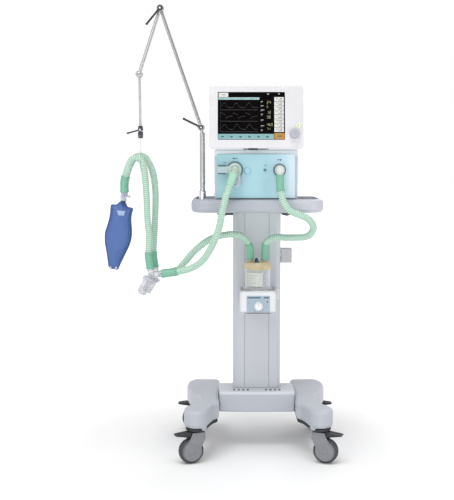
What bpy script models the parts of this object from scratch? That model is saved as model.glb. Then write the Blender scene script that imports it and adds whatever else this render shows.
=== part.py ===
"""Mechanical ventilator on its trolley, with humidifier, breathing circuit and support arm. Metres, +Z up."""

import math

import bmesh
import bpy
from mathutils import Matrix, Vector

# ---------------------------------------------------------------- driving dimensions
GAP = 0.0003                      # air between pieces that touch
SHIFT = Vector((0.085, 0.005, 0.0))   # trolley centre to the middle of the object's box

BEAM_HALF_X = 0.141
BEAM_Z = (0.139, 0.2156)
LEG_Z = (0.128, 0.195)
LEG_OUTLINE = (
    (0.1413, -0.125), (0.158, -0.150), (0.172, -0.196), (0.185, -0.242), (0.211, -0.266),
    (0.241, -0.262), (0.261, -0.240), (0.266, -0.208), (0.253, -0.172), (0.231, -0.138),
    (0.217, -0.098), (0.214, -0.055), (0.224, -0.008), (0.244, 0.038), (0.260, 0.088),
    (0.268, 0.140), (0.268, 0.192), (0.257, 0.236), (0.228, 0.257), (0.1413, 0.252),
)

WHEEL_RADIUS = 0.045
WHEEL_HALF = 0.0155
TRAIL = 0.031
# each caster trails outward, turned this many degrees to the front
TRAIL_TURNS = {"front_left": 20.0, "front_right": 20.0, "rear_left": 2.0, "rear_right": 2.0}
SWIVELS = {
    "front_left": (-0.211, -0.226),
    "front_right": (0.211, -0.226),
    "rear_left": (-0.215, 0.212),
    "rear_right": (0.215, 0.212),
}

TRAY_Z = (0.890, 0.937)
TRAY_X = (-0.2395, 0.2320)
TRAY_Y = (-0.208, 0.186)
SOCKET_X = 0.2003
ARM_Y = -0.100

COLUMN_Z = (BEAM_Z[1] + GAP, TRAY_Z[0] - GAP)
COLUMN_HALF = 0.0895
COLUMN_Y = (0.0, 0.084)

UNIT_X = -0.009                   # the ventilator sits a little left of the trolley's centre
UNIT_HALF = 0.147
UNIT_Y = (-0.178, 0.150)
UNIT_Z = (TRAY_Z[1] + GAP, 1.113)
PANEL_HALF = 0.138
PANEL_Z = (0.9420, 1.0970)
PANEL_EDGE_Y = -0.1795
PANEL_BOW = 0.0095

HINGE = Vector((UNIT_X, -0.135, 1.150))
TILT = math.radians(-10.0)
MONITOR_HALF = 0.165
MONITOR_LOW, MONITOR_HIGH = -0.0441, 0.1783
BEZEL_Y = (-0.060, -0.048)
GLASS_X = (-0.1353, 0.1003)
GLASS_Z = (-0.0137, 0.1557)
KNOB_X, KNOB_Z, KNOB_RADIUS = 0.134, 0.0071, 0.0172
KEY_X, KEY_Z, KEY_RADIUS = 0.147, 0.0368, 0.0085

EXP_PORT = Vector((-0.0846, 0.0, 1.0418))
INSP_PORT = Vector((0.0731, 0.0, 1.0404))
PORT_FRONT = -0.223
VALVE_WAY = Vector((-0.30, 0.0, -0.954)).normalized()   # the valve's outlet leans to the left

HEATER_Y = (-0.150, -0.0325)
HEATER_HALF = 0.065
HEATER_Z = (0.525, 0.6040)
CHAMBER_Y = -0.090
CHAMBER_RADIUS = 0.047
CHAMBER_Z = (0.6088, 0.6790)
LID_Z = (0.6793, 0.7065)
LID_PORT_TOP = 0.7160
LID_PORTS = (-0.0270, 0.0260)

JOINT_LOW = Vector((-0.205, 0.0, 1.1920))
JOINT_TOP = Vector((-0.3493, 0.0, 1.6128))
JOINT_KINK = Vector((-0.4259, 0.0, 1.3809))
CLAMP_X = -0.4237
CLAMP_Z = (1.1540, 1.1980)
LOWER_Y = -0.0932
UPPER_Y = -0.1068
KNUCKLE_HALF = 0.0064
KNUCKLE_RADIUS = 0.0125
CREST_Z = 1.1040

HOSE = 0.025                      # outside diameter of the corrugated hose
TRAP_AT = {"a": Vector((-0.372, -0.075, 0.659)), "b": Vector((-0.386, -0.125, 0.659))}
TRAP_REACH = {"a": 0.026, "b": 0.040}   # length of the side spout
TRAP_UP = Vector((-0.145, 0.0, 0.989)).normalized()
TRAP_SIDE = Vector((0.990, 0.0, 0.139)).normalized()
TRAP_DOWN = Vector((-0.50, 0.0, -0.866)).normalized()
Y_PIECE = Vector((-0.4855, -0.100, 0.9440))
Y_SPREAD = 0.0165

# ---------------------------------------------------------------- clean start
for old in list(bpy.data.objects):
    bpy.data.objects.remove(old, do_unlink=True)

GREY = (0.52, 0.56, 0.60)
LIGHT = (0.74, 0.76, 0.80)
DARK = (0.045, 0.05, 0.055)
STEEL = (0.60, 0.61, 0.62)
GREEN = (0.45, 0.72, 0.60)


# ---------------------------------------------------------------- helpers
def give_material(obj, colour, rough=0.45, metal=0.0, alpha=1.0):
    mat = bpy.data.materials.new(obj.name + "_mat")
    mat.use_nodes = True
    shader = mat.node_tree.nodes["Principled BSDF"]
    shader.inputs["Base Color"].default_value = (*colour, 1.0)
    shader.inputs["Roughness"].default_value = rough
    shader.inputs["Metallic"].default_value = metal
    shader.inputs["Alpha"].default_value = alpha
    obj.data.materials.clear()
    obj.data.materials.append(mat)


def link(name, mesh):
    obj = bpy.data.objects.new(name, mesh)
    bpy.context.scene.collection.objects.link(obj)
    return obj


def bake(obj):
    """Turns the object's modifiers into its mesh."""
    graph = bpy.context.evaluated_depsgraph_get()
    mesh = bpy.data.meshes.new_from_object(obj.evaluated_get(graph))
    obj.modifiers.clear()
    old = obj.data
    obj.data = mesh
    bpy.data.meshes.remove(old)
    return obj


def bevelled(obj, width, segments=2, angle=35.0):
    bevel = obj.modifiers.new("bevel", "BEVEL")
    bevel.width = width
    bevel.segments = segments
    bevel.limit_method = "ANGLE"
    bevel.angle_limit = math.radians(angle)
    return bake(obj)


def prism(outline, low, high, axis="z", bevel=0.0, segments=2, angle=35.0):
    """A closed outline pushed from low to high along an axis."""
    place = {
        "z": lambda u, v, w: (u, v, w),
        "y": lambda u, v, w: (u, w, v),
        "x": lambda u, v, w: (w, u, v),
    }[axis]
    bm = bmesh.new()
    ends = [[bm.verts.new(place(u, v, w)) for u, v in outline] for w in (low, high)]
    bm.faces.new(ends[0])
    bm.faces.new(ends[1])
    for i in range(len(outline)):
        j = (i + 1) % len(outline)
        bm.faces.new((ends[0][i], ends[0][j], ends[1][j], ends[1][i]))
    bmesh.ops.recalc_face_normals(bm, faces=bm.faces)
    mesh = bpy.data.meshes.new("prism")
    bm.to_mesh(mesh)
    bm.free()
    obj = link("prism", mesh)
    return bevelled(obj, bevel, segments, angle) if bevel else obj


def block(x, y, z, bevel=0.0, segments=2):
    return prism(((x[0], y[0]), (x[1], y[0]), (x[1], y[1]), (x[0], y[1])), z[0], z[1], "z", bevel, segments)


def rounded(x, z, radius, steps=4):
    """Outline of a rectangle with round corners."""
    points = []
    corners = ((x[1], z[0], -90), (x[1], z[1], 0), (x[0], z[1], 90), (x[0], z[0], 180))
    for cx, cz, start in corners:
        mx = cx - math.copysign(radius, cx - sum(x) / 2)
        mz = cz - math.copysign(radius, cz - sum(z) / 2)
        for k in range(steps + 1):
            turn = math.radians(start + 90 * k / steps)
            points.append((mx + radius * math.cos(turn), mz + radius * math.sin(turn)))
    return points


def turned(profile, origin, axis=(0, 0, 1), steps=24):
    """A lathed solid: (radius, height) pairs up the axis, closed on the axis or as a ring."""
    bm = bmesh.new()
    rings = []
    for radius, height in profile:
        count = 1 if radius == 0 else steps
        rings.append([
            bm.verts.new((radius * math.cos(2 * math.pi * k / steps),
                          radius * math.sin(2 * math.pi * k / steps), height))
            for k in range(count)
        ])
    ring_shape = profile[0][0] > 0
    pairs = list(zip(rings, rings[1:]))
    if ring_shape:
        pairs.append((rings[-1], rings[0]))
    for low, high in pairs:
        for k in range(steps):
            m = (k + 1) % steps
            corners = [low[k % len(low)], low[m % len(low)], high[m % len(high)], high[k % len(high)]]
            face = list(dict.fromkeys(corners))
            if len(face) > 2:
                bm.faces.new(face)
    bmesh.ops.recalc_face_normals(bm, faces=bm.faces)
    turn = Vector((0, 0, 1)).rotation_difference(Vector(axis).normalized()).to_matrix().to_4x4()
    bm.transform(Matrix.Translation(Vector(origin)) @ turn)
    mesh = bpy.data.meshes.new("turned")
    bm.to_mesh(mesh)
    bm.free()
    return link("turned", mesh)


def rod(start, end, radius, steps=20, chamfer=0.0):
    start, end = Vector(start), Vector(end)
    length = (end - start).length
    if chamfer:
        profile = [(0, 0), (radius - chamfer, 0), (radius, chamfer), (radius, length - chamfer),
                   (radius - chamfer, length), (0, length)]
    else:
        profile = [(0, 0), (radius, 0), (radius, length), (0, length)]
    return turned(profile, start, end - start, steps)


def combine(obj, others, operation):
    for other in others:
        other.hide_render = True
        other.display_type = "WIRE"
        step = obj.modifiers.new("combine", "BOOLEAN")
        step.operation = operation
        step.solver = "EXACT"
        step.object = other
        bake(obj)
        bpy.data.objects.remove(other, do_unlink=True)
    return obj


def join(obj, *others):
    return combine(obj, others, "UNION")


def cut(obj, *others):
    return combine(obj, others, "DIFFERENCE")


def moved(obj, matrix):
    obj.data.transform(matrix)
    return obj


def finish(name, obj, colour, origin=(0, 0, 0), smooth=True, **look):
    """Names the node, puts its origin where it turns, and gives it its material."""
    obj.name = name
    obj.data.name = name
    origin = Vector(origin)
    obj.data.transform(Matrix.Translation(-origin))
    obj.location = origin + SHIFT
    if smooth:
        obj.data.shade_smooth()
        for edge in obj.data.edges:
            edge.use_edge_sharp = False
        obj.data.set_sharp_from_angle(angle=math.radians(35.0))
    give_material(obj, colour, **look)
    return obj


def spline_points(route, spacing):
    """Points on a smooth curve through the route, whose first and last legs are straight."""
    points = [Vector(p) for p in route]
    dense = []
    for a, b, c, d in zip(points, points[1:], points[2:], points[3:]):
        for k in range(24):
            t = k / 24
            dense.append(0.5 * (2 * b + (c - a) * t + (2 * a - 5 * b + 4 * c - d) * t ** 2
                                + (3 * b - a - 3 * c + d) * t ** 3))
    dense.append(points[-2])
    lengths = [0.0]
    for a, b in zip(dense, dense[1:]):
        lengths.append(lengths[-1] + (b - a).length)
    count = max(2, round(lengths[-1] / spacing))
    even, at = [points[0]], 0
    for k in range(count + 1):
        want = lengths[-1] * k / count
        while at < len(lengths) - 2 and lengths[at + 1] < want:
            at += 1
        part = (want - lengths[at]) / max(lengths[at + 1] - lengths[at], 1e-9)
        even.append(dense[at].lerp(dense[at + 1], min(max(part, 0.0), 1.0)))
    return [*even, points[-1]]


def hose(name, route, diameter, colour):
    points = spline_points(route, 1.4 * diameter)
    curve = bpy.data.curves.new(name, "CURVE")
    curve.dimensions = "3D"
    curve.bevel_depth = diameter / 2
    curve.bevel_resolution = 2
    curve.use_fill_caps = True
    line = curve.splines.new("POLY")
    line.points.add(len(points) - 1)
    for slot, point in zip(line.points, points):
        slot.co = (*(point + SHIFT), 1.0)
    obj = link(name, curve)
    give_material(obj, colour, rough=0.4)
    return obj


def panel_y(x):
    """Front face of the bowed front panel at x."""
    return PANEL_EDGE_Y - PANEL_BOW * (1 - ((x - UNIT_X) / PANEL_HALF) ** 2)


def seat_y(x, radius):
    """Back of a disc of this radius, laid on the bowed panel at x."""
    inner = max(abs(x - UNIT_X) - radius, 0.0)
    return panel_y(UNIT_X + inner) - GAP


# ---------------------------------------------------------------- base
beam_front = [(BEAM_HALF_X * (k / 6 - 1), -0.062 - 0.004 * (1 - (k / 6 - 1) ** 2)) for k in range(13)]
beam = prism([*beam_front, (BEAM_HALF_X, 0.090), (-BEAM_HALF_X, 0.090)], *BEAM_Z, "z", 0.006, 2, 60)
holes = [rod((side * x, -0.036, BEAM_Z[1] - 0.006), (side * x, -0.036, BEAM_Z[1] + 0.01), 0.0031, 10)
         for side in (-1, 1) for x in (0.034, 0.051, 0.068, 0.085)]
finish("base_crossbar", cut(beam, *holes), GREY)

for word in ("left", "right"):
    side = -1 if word == "left" else 1
    curve = spline_points([(x, y, 0.0) for x, y in LEG_OUTLINE], 0.011)
    leg = prism([(side * point.x, point.y) for point in curve], *LEG_Z, "z", 0.013, 2, 50)
    stems = [turned([(0, 0.1122), (0.011, 0.1122), (0.011, 0.1190), (0.0250, 0.1190), (0.0270, 0.1220),
                     (0.0270, 0.1320), (0, 0.1320)], (*swivel, 0), steps=20)
             for where, swivel in SWIVELS.items() if where.endswith(word)]
    finish(f"base_leg_{word}", join(leg, *stems), GREY)


def caster(where, swivel):
    side = math.copysign(1.0, swivel[0])
    turn = math.radians(TRAIL_TURNS[where])
    trail = Vector((side * math.cos(turn), -math.sin(turn), 0))
    axle = Vector((-trail.y, trail.x, 0)) * side
    centre = Vector((*swivel, 0))
    frame = Matrix((trail, axle, (0, 0, 1))).transposed().to_4x4()
    frame.translation = centre
    if frame.determinant() < 0:
        frame.col[1] = -frame.col[1]

    wheel_at = (TRAIL, 0, WHEEL_RADIUS)
    outline = [(TRAIL + 0.033 * math.cos(a), WHEEL_RADIUS + 0.033 * math.sin(a))
               for a in (math.radians(d) for d in range(-198, 31, 19))]
    outline += [(0.0420, 0.0840), (0.0340, 0.1000), (0.0300, 0.1119), (-0.0165, 0.1119), (-0.0175, 0.0900)]
    plates = [prism(outline, low, low + 0.0040, "y") for low in (-0.0206, 0.0166)]
    bridge = block((-0.0160, 0.0175), (-0.0175, 0.0175), (0.0925, 0.1119))
    fork = join(plates[0], bridge, plates[1], rod((TRAIL, -0.018, WHEEL_RADIUS), (TRAIL, 0.018, WHEEL_RADIUS), 0.004, 12))
    moved(bevelled(fork, 0.0012, 1, 50), frame)
    finish(f"caster_fork_{where}", fork, (0.25, 0.26, 0.28), origin=centre)

    wheel = turned([(0.0044, -WHEEL_HALF), (0.038, -WHEEL_HALF), (0.0438, -0.0110), (WHEEL_RADIUS, -0.0050),
                    (WHEEL_RADIUS, 0.0050), (0.0438, 0.0110), (0.038, WHEEL_HALF), (0.0044, WHEEL_HALF)],
                   wheel_at, (0, 1, 0), 24)
    moved(wheel, frame)
    finish(f"caster_wheel_{where}", wheel, DARK, origin=frame @ Vector(wheel_at))

    pedal = prism(((0.0195, 0.0980), (0.0390, 0.0945), (0.0480, 0.0965), (0.0900, 0.1035), (0.0935, 0.1065),
                   (0.0880, 0.1085), (0.0360, 0.1150), (0.0195, 0.1115)), -0.0150, 0.0150, "y", 0.0015, 1)
    moved(pedal, frame)
    finish(f"caster_pedal_{where}", pedal, DARK, origin=frame @ Vector((0.0290, 0, 0.1040)))


for where, swivel in SWIVELS.items():
    caster(where, swivel)

# ---------------------------------------------------------------- column
half = COLUMN_HALF
column_outline = ((-0.045, COLUMN_Y[0]), (0.045, COLUMN_Y[0]), (0.074, 0.006), (half, 0.022), (half, 0.070),
                  (0.078, COLUMN_Y[1]), (-0.078, COLUMN_Y[1]), (-half, 0.070), (-half, 0.022), (-0.074, 0.006))
finish("column_shell", prism(column_outline, *COLUMN_Z, "z", 0.0012, 1, 10), GREY)
finish("column_rear_cover", block((-0.062, 0.062), (COLUMN_Y[1] + GAP, COLUMN_Y[1] + 0.006), (0.250, 0.840), 0.002),
       LIGHT)
bracket = block((half + GAP, 0.1325), (0.024, 0.068), (0.690, 0.744), 0.003)
scoop = rod((half - 0.0385, 0.0, 0.717), (half - 0.0385, 0.09, 0.717), 0.042, 28)
finish("side_bracket", cut(bracket, scoop), LIGHT)

# ---------------------------------------------------------------- tray
plate = block((-0.147, 0.132), (-0.095, 0.130), (0.8760, TRAY_Z[0] - GAP), 0.002)
round_column = block((-half - 0.0004, half + 0.0004), (-0.100, COLUMN_Y[1] + 0.0004), (0.870, 0.895))
finish("tray_support_plate", cut(plate, round_column), DARK)
tray_outline = rounded(TRAY_X, TRAY_Y, 0.062, 6)
tray = prism(tray_outline, *TRAY_Z, "z", 0.012, 2, 50)
pockets = [prism(rounded((lo, hi), (-0.150, 0.060), 0.022), 0.9300, 0.950) for lo, hi in
           ((-0.2245, -0.1585), (0.1410, 0.2190))]
wells = [rod((side * SOCKET_X, ARM_Y, 0.9120), (side * SOCKET_X, ARM_Y, 0.95), 0.0125, 20) for side in (-1, 1)]
finish("tray", cut(tray, *pockets, *wells), GREY)

# ---------------------------------------------------------------- ventilator housing
unit = block((UNIT_X - UNIT_HALF, UNIT_X + UNIT_HALF), UNIT_Y, UNIT_Z, 0.006, 3)
recess = block((UNIT_X - PANEL_HALF - 0.0004, UNIT_X + PANEL_HALF + 0.0004), (-0.20, -0.1700),
               (PANEL_Z[0] - 0.0004, PANEL_Z[1] + 0.0004))
finish("main_housing", cut(unit, recess), LIGHT)

steps = [UNIT_X + PANEL_HALF * (k / 7 - 1) for k in range(15)]
front = prism([*((x, panel_y(x)) for x in steps), (UNIT_X + PANEL_HALF, -0.1704), (UNIT_X - PANEL_HALF, -0.1704)],
              *PANEL_Z, "z", 0.0012, 1, 60)
finish("front_panel", front, (0.42, 0.66, 0.73))

rear = block((-0.135, 0.117), (UNIT_Y[1] + GAP, UNIT_Y[1] + 0.006), (0.955, 1.098), 0.0015)
inlets = [rod((x, 0.150 + GAP, 0.985), (x, 0.178, 0.985), 0.009, 16, 0.001) for x in (-0.100, -0.066)]
inlet_box = block((0.050, 0.098), (0.1510, 0.1640), (0.968, 0.996), 0.0015)
fan = turned([(0.034, 0.152), (0.038, 0.152), (0.038, 0.1585), (0.034, 0.1585)], (0, 0, 0), (0, 0, 1), 20)
moved(fan, Matrix.Translation((0.060, 0, 1.050)) @ Matrix.Rotation(math.radians(-90), 4, "X"))
finish("rear_panel", join(rear, *inlets, inlet_box, fan), DARK)

# ---------------------------------------------------------------- monitor
tilt = Matrix.Translation(HINGE) @ Matrix.Rotation(TILT, 4, "X")


def monitor_piece(name, obj, colour, origin=(0, 0, 0), **look):
    moved(obj, tilt)
    return finish(name, obj, colour, origin=tilt @ Vector(origin), **look)


face = rounded((-MONITOR_HALF, MONITOR_HALF), (MONITOR_LOW, MONITOR_HIGH), 0.011)
bezel = prism(face, *BEZEL_Y, "y", 0.0025, 2, 50)
window = prism(rounded((GLASS_X[0] - 0.0004, GLASS_X[1] + 0.0004), (GLASS_Z[0] - 0.0004, GLASS_Z[1] + 0.0004), 0.002, 2),
               -0.070, -0.0570, "y")
shaft_hole = rod((KNOB_X, -0.07, KNOB_Z), (KNOB_X, -0.0502, KNOB_Z), 0.0036, 16)
key_hole = rod((KEY_X, -0.07, KEY_Z), (KEY_X, -0.0560, KEY_Z), KEY_RADIUS + 0.0005, 20)
monitor_piece("monitor_bezel", cut(bezel, window, shaft_hole, key_hole), LIGHT)
glass = prism(rounded(GLASS_X, GLASS_Z, 0.002, 2), -0.0597, -0.0573, "y")
monitor_piece("screen_glass", glass, (0.02, 0.02, 0.025), rough=0.12)
side_profile = ((-0.0477, MONITOR_LOW + 0.006), (-0.0200, -0.0300), (-0.0100, -0.0200), (-0.0100, 0.1450),
                (-0.0200, 0.1620), (-0.0477, MONITOR_HIGH - 0.004))
shell = prism(side_profile, -MONITOR_HALF + 0.004, MONITOR_HALF - 0.004, "x", 0.004, 2)
lugs = [prism(((-0.0110, -0.0100), (0.0040, -0.0090), (0.0090, 0.0), (0.0040, 0.0090), (-0.0110, 0.0100)),
              lo, lo + 0.010, "x") for lo in (-0.0450, 0.0350)]
bore = rod((-0.06, 0, 0), (0.06, 0, 0), 0.0045, 16)
shell = cut(join(shell, *lugs), bore)
monitor_piece("monitor_rear_housing", shell, LIGHT)
shaft = rod((KNOB_X, -0.0705, KNOB_Z), (KNOB_X, -0.0515, KNOB_Z), 0.0030, 16)
monitor_piece("encoder_shaft", shaft, STEEL, origin=(KNOB_X, -0.0600, KNOB_Z), metal=1.0, rough=0.25)
knob = turned([(0, 0.0145), (KNOB_RADIUS - 0.0032, 0.0145), (KNOB_RADIUS - 0.0008, 0.0128), (KNOB_RADIUS, 0.0100),
               (KNOB_RADIUS, 0.0), (0.0034, 0.0), (0.0034, 0.0100), (0, 0.0100)],
              (KNOB_X, -0.0613, KNOB_Z), (0, -1, 0), 24)
monitor_piece("encoder_knob", knob, (0.50, 0.51, 0.60), origin=(KNOB_X, -0.0613, KNOB_Z))
key = turned([(0, -0.0028), (KEY_RADIUS, -0.0028), (KEY_RADIUS, 0.0006), (KEY_RADIUS - 0.0012, 0.0018),
              (0, 0.0024)], (KEY_X, -0.0597, KEY_Z), (0, -1, 0), 28)
monitor_piece("alarm_key", key, (0.75, 0.85, 0.25), origin=(KEY_X, -0.0597, KEY_Z))

stand = prism(((-0.0020, UNIT_Z[1] + GAP - HINGE.z), (0.0300, UNIT_Z[1] + GAP - HINGE.z), (0.0150, -0.0060),
               (0.0064, 0.0030), (0.0, 0.0066), (-0.0056, 0.0035), (-0.0064, -0.0020), (-0.0020, -0.0120)),
              -0.0335, 0.0335, "x")
stand = join(stand, rod((-0.0460, 0, 0), (0.0460, 0, 0), 0.0041, 16),
             block((-0.045, 0.045), (-0.0030, 0.0420), (UNIT_Z[1] + GAP - HINGE.z, UNIT_Z[1] + 0.0050 - HINGE.z)))
moved(stand, Matrix.Translation(HINGE))
finish("monitor_bracket", stand, GREY)

# ---------------------------------------------------------------- front ports
seat = seat_y(EXP_PORT.x, 0.0285)
valve = turned([(0, 0.0), (0.0240, 0.0), (0.0240, 0.0125), (0.0215, 0.0145), (0.0135, 0.0150), (0.0135, 0.0300),
                (0.0110, 0.0375), (0.0060, 0.0410), (0, 0.0420)], (EXP_PORT.x, seat, EXP_PORT.z), (0, -1, 0), 28)
outlet_top = Vector((EXP_PORT.x, PORT_FRONT, EXP_PORT.z))
spout = rod(outlet_top + VALVE_WAY * 0.0180, outlet_top, 0.0122, 20)
finish("exp_valve_body", join(valve, spout), (0.82, 0.84, 0.86))
ring = turned([(0.0246, 0.0), (0.0285, 0.0), (0.0285, 0.0100), (0.0246, 0.0100)],
              (EXP_PORT.x, seat, EXP_PORT.z), (0, -1, 0), 32)
arm = block((-0.1450, EXP_PORT.x - 0.0262), (seat - 0.0090, seat - 0.0012), (EXP_PORT.z - 0.0130, EXP_PORT.z + 0.0130),
            0.003, 2)
finish("exp_valve_lever", join(ring, arm), LIGHT, origin=(EXP_PORT.x, seat, EXP_PORT.z))

seat = seat_y(INSP_PORT.x, 0.0208)
collar = turned([(0, 0.0), (0.0208, 0.0), (0.0208, 0.0080), (0.0185, 0.0100), (0, 0.0100)],
                (INSP_PORT.x, seat, INSP_PORT.z), (0, -1, 0), 28)
finish("insp_port_collar", collar, DARK)
elbow = turned([(0, 0.0103), (0.0122, 0.0103), (0.0122, 0.0220), (0.0150, 0.0260), (0.0155, 0.0340), (0.0130, 0.0430),
                (0.0080, 0.0480), (0, 0.0500)], (INSP_PORT.x, seat, INSP_PORT.z), (0, -1, 0), 24)
spout = rod((INSP_PORT.x, PORT_FRONT, INSP_PORT.z - 0.0180), (INSP_PORT.x, PORT_FRONT, INSP_PORT.z), 0.0115, 20)
finish("insp_elbow", join(elbow, spout), (0.80, 0.79, 0.74))

seat = seat_y(-0.0391, 0.0116)
finish("gas_port_cap", turned([(0, 0), (0.0116, 0), (0.0116, 0.0022), (0.0100, 0.0034), (0, 0.0034)],
                              (-0.0391, seat, 1.0380), (0, -1, 0), 24), (0.55, 0.72, 0.77))

# ---------------------------------------------------------------- humidifier
back = block((-0.050, 0.050), (HEATER_Y[1] + GAP, -GAP), (0.545, 0.600), 0.003)
clip = block((0.046, 0.082), (-0.028, -0.020), (0.558, 0.600), 0.003)
finish("humidifier_bracket", join(back, clip), LIGHT)
heater = block((-HEATER_HALF, HEATER_HALF), HEATER_Y, HEATER_Z, 0.010, 3)
plate = turned([(0, 0.6000), (0.0560, 0.6000), (0.0585, 0.6055), (0.0585, 0.6085), (0, 0.6085)],
               (0, CHAMBER_Y, 0), steps=28)
finish("heater_base", join(heater, plate), (0.84, 0.85, 0.87))
knob = turned([(0, 0.0), (0.0145, 0.0), (0.0137, 0.0100), (0.0120, 0.0120), (0, 0.0120)],
              (0.0013, -0.1503, 0.5510), (0, -1, 0), 28)
finish("humidifier_knob", knob, (0.85, 0.87, 0.90), origin=(0.0013, -0.1503, 0.5510))
low, high = CHAMBER_Z
chamber = turned([(0, low), (0.0560, low), (0.0560, low + 0.0030), (CHAMBER_RADIUS, low + 0.0060),
                  (CHAMBER_RADIUS, high), (CHAMBER_RADIUS - 0.0018, high), (CHAMBER_RADIUS - 0.0018, low + 0.0060),
                  (0, low + 0.0060)], (0, CHAMBER_Y, 0), steps=28)
finish("water_chamber", chamber, (0.85, 0.88, 0.90), alpha=0.4)
low, high = LID_Z
lid = turned([(0, low), (0.0480, low), (0.0490, low + 0.0015), (0.0490, low + 0.0190), (0.0450, high - 0.002),
              (0.0400, high), (0, high)], (0, CHAMBER_Y, 0), steps=28)
lid = join(lid, *[rod((x, CHAMBER_Y, high - 0.004), (x, CHAMBER_Y, LID_PORT_TOP), 0.0110, 20) for x in LID_PORTS])
finish("chamber_lid", lid, (0.72, 0.55, 0.30))
cap = turned([(0, high + GAP), (0.0065, high + GAP), (0.0065, 0.7170), (0.0040, 0.7200), (0, 0.7200)],
             (-0.0050, -0.1180, 0), steps=16)
finish("fill_port_cap", cap, (0.03, 0.05, 0.12))

# ---------------------------------------------------------------- support arm
socket = turned([(0.0094, 0.9303), (0.0170, 0.9303), (0.0170, 0.9350), (0.0122, 0.9385), (0.0122, 0.9620),
                 (0.0110, 0.9660), (0.0094, 0.9660)], (-SOCKET_X, ARM_Y, 0), steps=24)
finish("arm_socket", socket, STEEL, metal=1.0, rough=0.25)


def knuckle(at, y, half=KNUCKLE_HALF):
    return rod((at.x, y - half, at.z), (at.x, y + half, at.z), KNUCKLE_RADIUS, 16, 0.001)


def on(at, y):
    return Vector((at.x, y, at.z))


post = join(rod((-SOCKET_X, ARM_Y, 0.9310), (-SOCKET_X, ARM_Y, 1.1740), 0.0090, 20, 0.001),
            rod((-SOCKET_X - 0.001, UPPER_Y, 1.1680), on(JOINT_LOW, UPPER_Y), 0.0058, 16),
            knuckle(JOINT_LOW, UPPER_Y))
finish("arm_post", post, STEEL, origin=(-SOCKET_X, ARM_Y, 0.94), metal=1.0, rough=0.35)
lower = join(rod(on(JOINT_LOW, LOWER_Y), on(JOINT_TOP, LOWER_Y), 0.0062, 12),
             knuckle(JOINT_LOW, LOWER_Y), knuckle(JOINT_TOP, LOWER_Y))
finish("arm_lower_tube", lower, STEEL, origin=on(JOINT_LOW, LOWER_Y), metal=1.0, rough=0.35)
upper = join(rod(on(JOINT_TOP, UPPER_Y), on(JOINT_KINK, UPPER_Y), 0.0058, 12),
             knuckle(JOINT_TOP, UPPER_Y), knuckle(JOINT_KINK, UPPER_Y))
finish("arm_upper_tube", upper, STEEL, origin=on(JOINT_TOP, UPPER_Y), metal=1.0, rough=0.35)
drop = join(rod(on(JOINT_KINK, LOWER_Y), (CLAMP_X, LOWER_Y, CLAMP_Z[1] + GAP), 0.0040, 16), knuckle(JOINT_KINK, LOWER_Y))
finish("drop_rod", drop, STEEL, origin=on(JOINT_KINK, LOWER_Y), metal=1.0, rough=0.35)
clamp = turned([(0, CLAMP_Z[0]), (0.0070, CLAMP_Z[0]), (0.0093, CLAMP_Z[0] + 0.004), (0.0093, CLAMP_Z[1] - 0.010),
                (0.0080, CLAMP_Z[1]), (0, CLAMP_Z[1])], (CLAMP_X, LOWER_Y, 0), steps=20)
finish("clamp_block", clamp, (0.16, 0.16, 0.17), metal=0.6)


def lock_lever(name, pivot, y, tip, radius=0.0085, thick=0.0036):
    """A lock lever: boss on the joint's axis and a handle towards tip."""
    along = (tip - pivot).normalized()
    start = Vector((pivot.x, y - 0.0055, pivot.z))
    end = Vector((tip.x, y - 0.0055, tip.z))
    boss = rod((pivot.x, y - 0.0090, pivot.z), (pivot.x, y, pivot.z), radius, 20, 0.001)
    handle = rod(start + along * 0.004, end, thick, 14, 0.001)
    finish(name, join(boss, handle), DARK, origin=(pivot.x, y, pivot.z))


lever_y = UPPER_Y - KNUCKLE_HALF - GAP
lock_lever("lever_low", JOINT_LOW, lever_y, Vector((-0.2690, 0, 1.2235)))
lock_lever("lever_top", JOINT_TOP, lever_y, Vector((-0.3985, 0, 1.5540)))
lock_lever("lever_clamp", Vector((CLAMP_X, 0, 1.1840)), LOWER_Y - 0.0093 - GAP, Vector((-0.4710, 0, 1.1710)), 0.0070, 0.0027)

# ---------------------------------------------------------------- breathing circuit
cord = rod((CLAMP_X, LOWER_Y, CREST_Z), (CLAMP_X, LOWER_Y, CLAMP_Z[0] - GAP), 0.0012, 8)
finish("hanger_string", cord, (0.7, 0.7, 0.7))

ends = {}
for word, centre in TRAP_AT.items():
    reach = TRAP_REACH[word]
    cup = turned([(0, 0.004), (0.0150, 0.004), (0.0240, 0.013), (0.0240, 0.0240), (0.0190, 0.0270), (0.0175, 0.0710),
                  (0.0130, 0.0770), (0, 0.0780)], centre, TRAP_DOWN, 18)
    trap = join(cup, rod(centre, centre + TRAP_UP * 0.0280, 0.0110, 14),
                rod(centre, centre + TRAP_SIDE * reach, 0.0110, 14))
    finish(f"water_trap_{word}", trap, (0.75, 0.77, 0.80), alpha=0.5)
    ends[word] = (centre + TRAP_UP * (0.0280 + GAP), centre + TRAP_SIDE * (reach + GAP))

Y_TOP = Vector((-0.4830, 0.0, 0.9620))
y_legs = []
for side in (-1, 1):
    y = Y_PIECE.y + side * Y_SPREAD
    y_legs.append(rod((Y_TOP.x, y, Y_TOP.z - 0.0120), (Y_TOP.x, y, Y_TOP.z), 0.0108, 14))
    y_legs.append(rod((Y_TOP.x, y, Y_TOP.z - 0.0080), (Y_PIECE.x, Y_PIECE.y + side * 0.004, Y_PIECE.z - 0.001), 0.0104, 14))
outlet = rod((-0.4868, Y_PIECE.y, 0.9290), (-0.4868, Y_PIECE.y, 0.9500), 0.0112, 14)
stub = rod((-0.4800, Y_PIECE.y, 0.9470), (-0.4640, Y_PIECE.y, 0.9435), 0.0042, 14)
finish("y_piece", join(outlet, *y_legs, stub), (0.80, 0.80, 0.84), alpha=0.6)

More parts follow.
